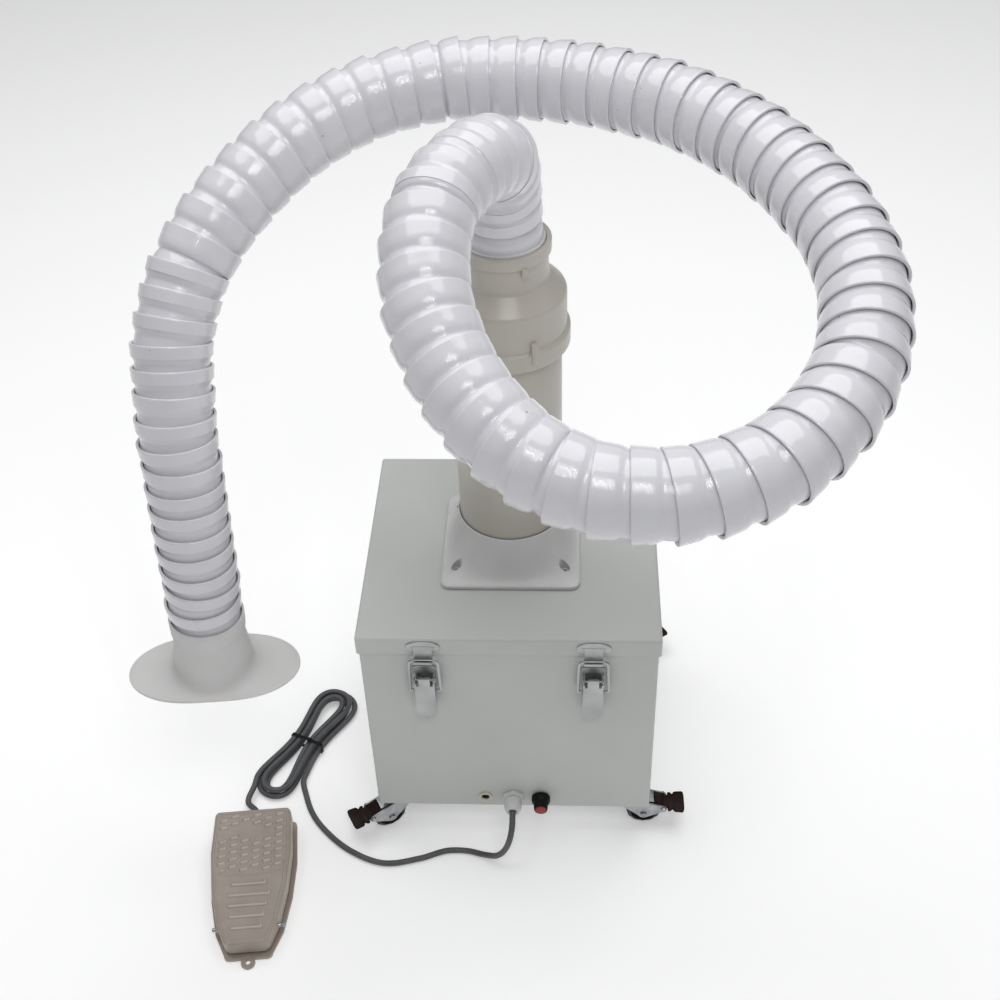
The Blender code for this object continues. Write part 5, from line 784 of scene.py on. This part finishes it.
def jack():
    """The power socket: a ring, and an insert with two contacts."""
    place = facing_front(JACK_X)
    profile = mm((8, 0.3), (8, 1.2), (7.2, 2.2), (5.6, 2.2), (4.8, 1.4), (4.4, 0.4), (4.4, -10), (5.8, -10),
                 (5.8, 0.3))
    Skin().turned(filleted(profile, 0.0004, 3), 64, place).made(
        "jack_ring", "cabinet", "ivory", "power_jack", slot="white_plastic")
    skin = Skin().turned(mm((0.1, 0.4), (3, 0.4), (4.3, -0.2), (4.3, -9), (0.1, -9)), 40, place)
    contact = filleted(mm((1, 1), (1.5, 1), (1.5, -2), (1, -2)), 0.0002, 2)
    for x in (-0.0021, 0.0021):
        skin.turned(contact, 24, place @ moved(x, 0, 0))
    skin.made("jack_insert", "cabinet", "black_plastic")


def gland():
    """Cable gland: a washer, a hexagon with six ribs, a domed nut and a seal."""
    place = facing_front(0)
    skin = Skin().slab(hexagon(0.0224 / math.sqrt(3), 0.0007, 3, math.pi / 2), 0.0003, 0.0058, 0.0006, place)
    for i in range(6):
        skin.slab(rounded_rectangle(0.0008, 0.0022, 0.0004, 2), 0.0, 0.0004, 0.0001,
                  place @ rotated(60 * (i + 0.5)) @ moved(0.01, 0, 0.0056))
    nut = mm((4, 21.4), (4.6, 22), (6.6, 22), (7.8, 21.2), (9.4, 17.8), (10.1, 14.5), (10.4, 11), (10.4, 7.2),
             (9.9, 6.4), (8.6, 6.2), (8.6, 4), (4, 4))
    skin.turned(filleted(nut, 0.0006, 3), 72, place)
    skin.turned(filleted(mm((10, 0.1), (11.2, 0.1), (11.2, 1), (10, 1)), 0.0002, 2), 48, place)
    skin.made("gland_body", "cabinet", "white_plastic", "cable_gland")
    seal = filleted(mm((3.55, 21.2), (4.8, 21.2), (4.8, 19), (3.55, 19)), 0.0003, 3)
    Skin().turned(seal, 40, place).made("gland_seal", "cabinet", "rubber")


def knob():
    """The fluted speed knob with its red cap."""
    place = facing_front(KNOB_X)
    sides, flutes, flute_depth = 144, 24, 0.00035
    rings = []
    for height, radius, flute in ((0.6, 10, 0), (1, 10.6, 0.3), (2, 10.8, 1), (5.8, 10.6, 1), (7.2, 10, 0.7),
                                  (8.4, 9, 0.5), (10, 8.4, 1), (17.4, 7.8, 1), (18.4, 7.4, 0.2),
                                  (18.7, 7, 0), (18.3, 6.6, 0), (17.6, 6.5, 0)):
        (height, radius), = mm((height, radius))
        ring = []
        for i in range(sides):
            a = 2 * math.pi * i / sides
            reach = radius - flute_depth * flute * max(math.cos(flutes * a), 0.0) ** 0.6
            ring.append(place @ Vector((reach * math.cos(a), reach * math.sin(a), height)))
        rings.append(ring)
    skin = Skin().rings(rings)
    skin.slab(rounded_rectangle(0.0004, 0.0016, 0.0002, 2), 0.0118, 0.015, 0.0001,
              place @ moved(0, 0.008, 0))
    skin.made("knob_body", "knob", "black_plastic", "speed_knob", angle=50)
    cap = mm((0.1, 19.2), (4, 19.1), (6, 18.8), (6.4, 18.4), (6.4, 17.6), (0.1, 17.6))
    Skin().turned(cap, 64, place).made("knob_disc", "knob", "red_plastic", "knob_cap")


LEVER_OUTLINE = filleted(mm(
    (6.1, 7.4), (-6.1, 7.4), (-6.1, -3.6), (-8.8, -3.6), (-8.8, 1), (-10.7, 1), (-10.7, -8), (-11.6, -44),
    (-9.8, -51), (0, -53.5), (9.8, -51), (11.6, -44), (10.7, -8), (10.7, 1), (8.8, 1), (8.8, -3.6),
    (6.1, -3.6)), 0.001, 4)
LEVER_CHEEK = filleted(mm(
    (-1.2, 3.6), (-5, 3.2), (-5.9, -4), (-5.9, -42), (-5, -46), (-3.6, -40), (1.6, -20), (2, -16), (2, 1),
    (0.8, 3.6)), 0.0008, 3)
CATCH_STRAP = mm(
    (0, 271.5), (0, 252.3), (0.6, 251.1), (1.6, 250.5), (7, 250.5), (8.4, 251), (9.2, 252), (9.4, 255.2),
    (8.9, 255.8), (8.3, 255.2), (8.1, 252.6), (7.4, 251.7), (4, 251.7), (3.3, 252.5), (3.3, 256.2),
    (1.8, 261.5), (1.7, 271.5))


def lever(side, pin):
    skin = Skin().slab(LEVER_OUTLINE, 0.005, 0.0063, 0.0003, Matrix.Translation(pin) @ FORWARD)
    for s in (-1, 1):
        across = Matrix.Translation(pin + Vector((s * 0.0102, 0, 0))) @ RIGHTWARD
        skin.slab(LEVER_CHEEK, -0.0006, 0.0006, 0.0002, across)
        for z, radius in ((0.0, 0.003), (-0.016, 0.0024)):
            boss = across @ moved(0, z, 0.0006 * s) @ rotated(0 if s > 0 else 180, "X")
            skin.turned([(0.0001, 0.001), (radius * 0.7, 0.001), (radius, 0.0006), (radius, -0.0004),
                         (0.0001, -0.0004)], 32, boss)
    skin.turned(mm((1.8, -5.8), (3, -5.8), (3.2, -5.4), (3.2, 5.4), (3, 5.8), (1.8, 5.8)), 40,
                Matrix.Translation(pin) @ rotated(90, "Y"))
    skin.made("lever_" + side + "_plate", "lever_" + side, "steel", "latch_lever_" + side)


def loop(side, pin):
    section = squarish(0.0018, 0.0013, 0.7, 0.7, 20)
    corners = mm((-12.5, -16), (-16.4, -16), (-15, 29.8), (15, 29.8), (16.4, -16), (12.5, -16))
    line = [Vector(p) for p in filleted(corners, 0.0058, 8, closed=False)]
    rings = []
    for before, p, after in zip(line[:1] + line, line, line[1:] + line[-1:]):
        along = (after - before).normalized()
        aside, out = Vector((along.y, 0, -along.x)), Vector((0, -1, 0))
        rings.append([pin + Vector((p.x, 0, p.y)) + aside * u + out * v for u, v in section])
    Skin().rings(rings).made("loop_" + side + "_frame", "loop_" + side, "steel", "latch_loop_" + side)


def catch(side, x):
    near, middle, half = -0.1479, 0.2694, 0.0097
    face = moved(x, near, 0) @ FORWARD
    oval = [(u, middle + v) for u, v in squarish(0.0178, 0.008, 0.72, 0.85, 72)]
    skin = Skin().slab(oval, 0.0, 0.0013, 0.0005, face)
    skin.rings([[Vector((x + u, near - out, z)) for out, z in CATCH_STRAP]
                for u in (-half, -half + 0.0003, half - 0.0003, half)])
    skin.made("catch_" + side + "_plate", "lid", "steel", "latch_catch_" + side)
    rivets = Skin()
    for u in (-0.0112, 0.0112):
        dome(rivets, face @ moved(u, middle - 0.0002, 0.0012), 0.0022, 0.0007)
    rivets.made("catch_" + side + "_rivets", "lid", "steel")


def latches():
    for side, x in (("left", -LATCH_X), ("right", LATCH_X)):
        pin = Vector((x, -0.1527, 0.224))
        lever(side, pin)
        loop(side, pin)
        catch(side, x)


def dome(skin, matrix, radius, height, recess=0.0):
    """A rivet's or screw's domed head on a face, with a recess in its middle where asked."""
    profile = [(radius, -0.0004), (radius, 0.15 * height)]
    for k in range(1, 6):
        a = math.pi / 2 * k / 6
        profile.append((radius * math.cos(a), height * (0.15 + 0.85 * math.sin(a))))
    inner = max(recess, radius * 0.12)
    deep, deepest = (0.9, 0.95) if recess else (0.0, 0.0)
    profile += [(inner, height * (1 - deep)), (inner * 0.3, height * (1 - deepest))]
    return skin.turned(profile, 28, matrix)


def fasteners():
    """Screws and rivets that the solids leave out."""
    screws = Skin()
    for x, y, _ in FLANGE_HOLES:
        dome(screws, moved(x, y, FLANGE_BOTTOM + 0.0031), 0.004, 0.002, 0.0014)
    screws.made("flange_screws", "lid", "zinc")
    for body, y, z, name in (("cabinet", 0.1465, 0.244, "hinge_rivets_low"),
                             ("lid", 0.1491, 0.2715, "hinge_rivets_high")):
        skin = Skin()
        for x in (-0.078, -0.026, 0.026, 0.078):
            dome(skin, moved(x, y, z) @ REARWARD, 0.0026, 0.0011)
        skin.made(name, body, "zinc")
    skin = Skin()
    for x in (-0.024, 0.052):
        for z in (0.0482, 0.1202):
            dome(skin, moved(x, 0.1473, z) @ REARWARD, 0.002, 0.001, 0.0009)
    skin.made("grille_screws", "cabinet", "dark_steel", slot="steel")


# Foot pedal
def pedal_half(y):
    """Half width of the treadle at a distance from its rear edge, with rounded corners."""
    half = float(np.interp(y, [p[0] for p in PEDAL_WIDTHS], [p[1] for p in PEDAL_WIDTHS]))
    near = min(y, PEDAL_LENGTH - y)
    if near < PEDAL_CORNER:
        half -= PEDAL_CORNER - math.sqrt(max(PEDAL_CORNER ** 2 - (PEDAL_CORNER - near) ** 2, 0.0))
    return half


def bar_height(x, y, length, width):
    """A rounded bar, 1 on its crest and 0 outside."""
    across = max(abs(x) - length / 2, 0.0)
    return max(0.0, 1.0 - (math.hypot(across, y) / (width / 2)) ** 2)


def tread_relief(x, y):
    """Height of the pattern above the plain top of the treadle."""
    edge = min(pedal_half(y) - abs(x), y, PEDAL_LENGTH - y)
    relief = 0.0009 * max(0.0, 1.0 - abs(edge - 0.0036) / 0.0013) ** 0.7
    panel_top = 0.087 - 0.0035 * (abs(x) / 0.036) ** 3
    if edge > 0.006:
        relief += 0.0005 * max(0.0, 1.0 - abs(y - panel_top) / 0.0011)

    # Staggered wedges, except on the diamond in the middle
    across, along = 0.0129, 0.0094
    column = round(x / across - 0.5) + 0.5
    first = 0.0085 + (along / 2 if round(column + 0.5) % 2 else 0.0)
    cx, cy = column * across, first + round((y - first) / along) * along
    outside_diamond = abs(cx) / 0.038 + abs(cy - 0.03) / 0.0135 > 1.0
    if edge > 0.0065 and abs(column) < 3 and cy < panel_top - 0.0052 and outside_diamond:
        turn = math.radians(14)
        dx, dy = x - cx, y - cy
        u = dx * math.cos(turn) + dy * math.sin(turn)
        v = dy * math.cos(turn) - dx * math.sin(turn)
        if abs(u) < 0.006 and -0.003 < v < 0.0034:
            ends = soft_step(0.006 - abs(u), 0.0028)
            rise = soft_step(v + 0.003, 0.0024) if v < -0.0006 else soft_step(0.0034 - v, 0.004)
            relief += 0.0018 * ends * rise

    # Cross bars with a short leg at the left end
    for middle, length, aside in mm((98, 37, 0), (111.5, 45, -1), (124.5, 41, 0), (138, 37, 0), (152, 32, 0)):
        relief += 0.0015 * bar_height(x - aside, y - middle, length, 0.0042) ** 0.6
        end = aside - length / 2
        relief = max(relief, 0.0014 * bar_height(y - middle + 0.0026, x - end, 0.003, 0.0028) ** 0.6)
    return relief


def treadle():
    """The pedal's top, a fine grid with its relief and turned-down sides."""
    fall = math.atan2(PEDAL_REAR_HEIGHT - PEDAL_FRONT_HEIGHT, PEDAL_LENGTH)
    place = PEDAL_PLACE @ moved(0, 0, PEDAL_REAR_HEIGHT) @ Matrix.Rotation(-fall, 4, "X")
    rows, columns, radius, crowding = 300, 160, 0.0018, 0.35
    bm = bmesh.new()
    painted_highlight = bm.verts.layers.float.new("painted_highlight")
    grid = []
    for j in range(rows + 1):
        even, crowded = j / rows, 0.5 - 0.5 * math.cos(math.pi * j / rows)
        y = PEDAL_LENGTH * (crowded * crowding + even * (1 - crowding))
        half = max(pedal_half(min(max(y, 1e-5), PEDAL_LENGTH - 1e-5)), 0.001)
        line = []
        for i in range(columns + 1):
            even = 2 * i / columns - 1
            x = half * (math.sin(math.pi / 2 * even) * crowding + even * (1 - crowding))
            edge = min(half - abs(x), y, PEDAL_LENGTH - y)
            drop = radius - math.sqrt(max(radius ** 2 - max(radius - edge, 0.0) ** 2, 0.0))
            relief = tread_relief(x, y)
            vert = bm.verts.new((x, y, relief - drop))
            # Painted highlight: the raised relief is marked for a lighter colour
            vert[painted_highlight] = soft_step(relief - 0.0003, 0.001)
            line.append(vert)
        grid.append(line)
    grid_faces(bm, grid)
    rim = grid[0] + [line[-1] for line in grid[1:]] + list(reversed(grid[-1][:-1])) \
        + [line[0] for line in reversed(grid[1:-1])]
    above = rim
    for z in (-0.0035, -0.01, -0.0186, -0.0198):
        ring = [bm.verts.new((v.co.x * (1 + 0.0004 / max(abs(v.co.x), 0.01)), v.co.y, z)) for v in rim]
        for i in range(len(rim)):
            j = (i + 1) % len(rim)
            bm.faces.new((above[i], above[j], ring[j], ring[i]))
        above = ring
    bm.transform(place)
    bmesh.ops.recalc_face_normals(bm, faces=bm.faces)
    obj = shown(object_of("treadle_shell", bm), "treadle", "pedal_cast", "pedal_treadle", angle=60)
    thick = obj.modifiers.new("wall", "SOLIDIFY")
    thick.thickness = 0.0022
    thick.offset = -1.0


def pedal_rest():
    """The cross pin that carries the treadle, and the spring under it."""
    half_pin = mm((2.5, 36.2), (1.8, 36.4), (1.8, 37.4), (2.5, 37.6), (2.5, 39.2), (1.9, 40), (0.1, 40))
    pin = filleted(half_pin[::-1] + [(radius, -z) for radius, z in half_pin], 0.0002, 2)
    Skin().turned(pin, 40, PEDAL_PLACE @ moved(0, 0.143, 0.015) @ rotated(90, "Y")).made(
        "pedal_rod", "cabinet", "zinc", "pedal_pin")
    place, low, high = PEDAL_PLACE, 0.0052, 0.0307
    turns, pieces, radius, wire = 3.0, 144, 0.006, 0.0009
    rings = []
    for i in range(pieces + 1):
        a = 2 * math.pi * turns * i / pieces
        out = Vector((math.cos(a), math.sin(a), 0))
        spot = Vector((0, 0.034, low + (high - low) * i / pieces)) + out * radius
        rings.append([place @ (spot + out * p.x + Vector((0, 0, p.y))) for p in circle(wire, 12)])
    coil = Skin().rings(rings).made("pedal_coil", "cabinet", "steel", "pedal_spring")
    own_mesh(coil)


# Inside
def gasket():
    outline = rounded_rectangle(0.1545, 0.1425, 0.006, 8)
    section = mm((0, 0), (2.6, 0), (3, 0.6), (2.9, 1.4), (2.3, 2.2), (1.5, 2.6), (0.8, 2.5), (0.1, 1.6))
    rings = zip(*(inset_ring(outline, inset, 0.2766 + height) for inset, height in section))
    Skin().rings(list(rings), closed=True).made("gasket_strip", "cabinet", "rubber", "lid_gasket")


def filter_pack():
    """A card frame open above and below, and the folded paper in it."""
    low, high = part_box("filter_cartridge")
    half_x, half_y, wall, chamfer = high.x, high.y, 0.006, 0.0006
    outer = rounded_rectangle(half_x, half_y, 0.003, 5)
    inner = rounded_rectangle(half_x - wall, half_y - wall, 0.0015, 5)
    heights = ((low.z, 0.0005), (low.z + chamfer, 0.0), (high.z - chamfer, 0.0), (high.z, 0.0005))
    levels = [inset_ring(outer, inset, z) for z, inset in heights]
    levels += [inset_ring(inner, -inset, z) for z, inset in reversed(heights)]
    Skin().rings(levels, closed=True).made("filter_frame", "cabinet", "filter_card", "filter_cartridge",
                                           slot="filter_paper")
    pleats, steps, reach = 46, 10, half_x - wall
    top, bottom = high.z - 0.004, low.z + 0.004
    fold = []
    for i in range(pleats * steps + 1):
        wave = 0.5 - 0.5 * math.cos(2 * math.pi * i / steps)
        wave = wave ** 0.8 if wave > 0.5 else 1 - (1 - wave) ** 0.8
        fold.append((-reach + 2 * reach * i / (pleats * steps), bottom + (top - bottom) * wave))
    bm = bmesh.new()
    grid = [[bm.verts.new((x + 0.0004 * math.sin(40 * x + 3 * share), share * (half_y - wall), z))
             for x, z in fold] for share in (-1.0, -0.33, 0.33, 1.0)]
    grid_faces(bm, grid)
    obj = shown(object_of("filter_pleats", bm), "cabinet", "filter_paper", angle=70)
    thick = obj.modifiers.new("sheet", "SOLIDIFY")
    thick.thickness = 0.0006


def foam_pad():
    """The pre-filter: a soft-edged pad with a faintly uneven top."""
    low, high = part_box("prefilter")
    outline = rounded_rectangle(high.x - 0.0006, high.y - 0.0006, 0.01, 8)
    rim, rows = high.z - 0.0014, 16
    rings = [inset_ring(outline, inset, z) for z, inset in (
        (low.z + 0.0002, 0.006), (low.z + 0.0006, 0.002), (low.z + 0.0026, 0.0002), (low.z + 0.007, 0.0),
        (high.z - 0.0046, 0.0002), (high.z - 0.0026, 0.0016), (rim, 0.0045))]
    edge = rings[-1]
    for k in range(1, rows):
        share = k / rows
        ring = []
        for p in edge:
            spot = Vector((p.x * (1 - share), p.y * (1 - share), 0))
            ripple = 0.0003 * noise.noise(spot * 28.0)
            ring.append(Vector((spot.x, spot.y, rim + 0.0011 * soft_step(share, 0.3) + ripple)))
        rings.append(ring)
    pad = Skin().rings(rings).made("foam_pad", "cabinet", "foam", "prefilter", angle=70)


def bent(line, half, thickness, edge, place):
    """Rings of a strip along (x, z) points, half to each side of the middle."""
    section = filleted(((-half, 0.0), (half, 0.0), (half, thickness), (-half, thickness)), edge, 3)
    line = filleted(line, 0.004, 5, closed=False)
    return [[place @ Vector((u, v, w + t)) for v, t in section] for u, w in line]


def casters():
    """Finishes of the plates, forks and wheels; brake pedals with their pins, spring plates and bolts."""
    half_pad = mm((-3.5, 8.4), (4.9, 8.4), (4.9, 13), (8.7, 13), (10.7, 9.8), (12.5, 14), (23.3, 14.6),
                  (24.5, 10))
    pad = filleted(half_pad + [(x, -y) for x, y in reversed(half_pad)], 0.0022, 5)[::-1]
    rod = mm((0.1, -12.6), (1.6, -12.6), (1.8, -12.3), (1.8, 12.3), (1.6, 12.6), (0.1, 12.6))
    arm_line = mm((34.5, -12.8), (38.5, -15), (42, -18.2), (46, -20.5))
    spring_line = mm((12, -6.6), (24, -8.8), (33.5, -11.2))
    bolt = mm((0.1, 1.2), (1.6, 1.2), (2, 2.2), (3.3, 2.2), (3.9, 1.7), (4, 0.4), (4, -0.3), (0.1, -0.3))
    nut = hexagon(0.0032, 0.0003, 2)
    for side, x, y, heading in CASTERS:
        dressed("caster_plate_" + side, "zinc", 0.0003)
        dressed("caster_fork_" + side, "zinc", 0.0003)
        dressed("caster_wheel_" + side, "wheel", 0.0006)
        place = moved(x, y, 0) @ rotated(heading)
        pin = place @ moved(0.045, 0, -0.02)
        brake = Skin().slab(pad, -0.002, 0.0022, 0.0012, pin)
        brake.turned(rod, 24, pin @ rotated(90, "X"))
        brake.rings(bent(arm_line, 0.0084, 0.0026, 0.0008, place))
        brake.made("brake_pad_" + side, "brake_" + side, "brown_plastic", "caster_brake_" + side)
        plate = Skin().rings(bent(spring_line, 0.008, 0.001, 0.0003, place))
        dome(plate, place @ moved(0.027, 0, -0.0085) @ rotated(14, "Y"), 0.0026, 0.0012, 0.001)
        plate.made("brake_spring_" + side, "fork_" + side, "zinc")
        bolts = Skin()
        for s in (-1, 1):
            wall, out = s * 0.0111, rotated(-90 * s, "X")
            bolts.turned(bolt, 36, place @ moved(0.022, wall, -0.03) @ out)
            bolts.slab(nut, -0.0003, 0.002, 0.0003, place @ moved(0.045, wall, -0.02) @ out)
        bolts.made("caster_bolts_" + side, "fork_" + side, "zinc")


def rest_of_cad():
    """Finishes and edges of the solids that keep their shape."""
    for finish, bevel, nodes in (
            ("cabinet_paint", 0.0006, ("cabinet_shell",)), ("cabinet_paint", 0.0012, ("lid",)),
            ("cabinet_paint", 0.0003, ("fan_deck",)), ("black_plastic", 0.0004, ("exhaust_grille",)),
            ("black_plastic", 0.0005, ("blower_housing",)), ("black_plastic", 0.0, ("impeller",)),
            ("zinc", 0.0003, ("hinge_cabinet_leaf", "hinge_lid_leaf")), ("board", 0.0, ("control_board",)),
            ("steel", 0.0003, ("latch_base_left", "latch_base_right")),
            ("pedal_cast", 0.0006, ("pedal_base",))):
        for node in nodes:
            dressed(node, finish, bevel)


FINISHES = finishes()
camera()
cable()
stage()
ROUTE = arm_route()
arm(ROUTE)
hood(ROUTE)
duct()
flange()
jack()
gland()
knob()
latches()
fasteners()
treadle()
pedal_rest()
gasket()
filter_pack()
foam_pad()
casters()
rest_of_cad()

SCENE.view_settings.view_transform = "Standard"
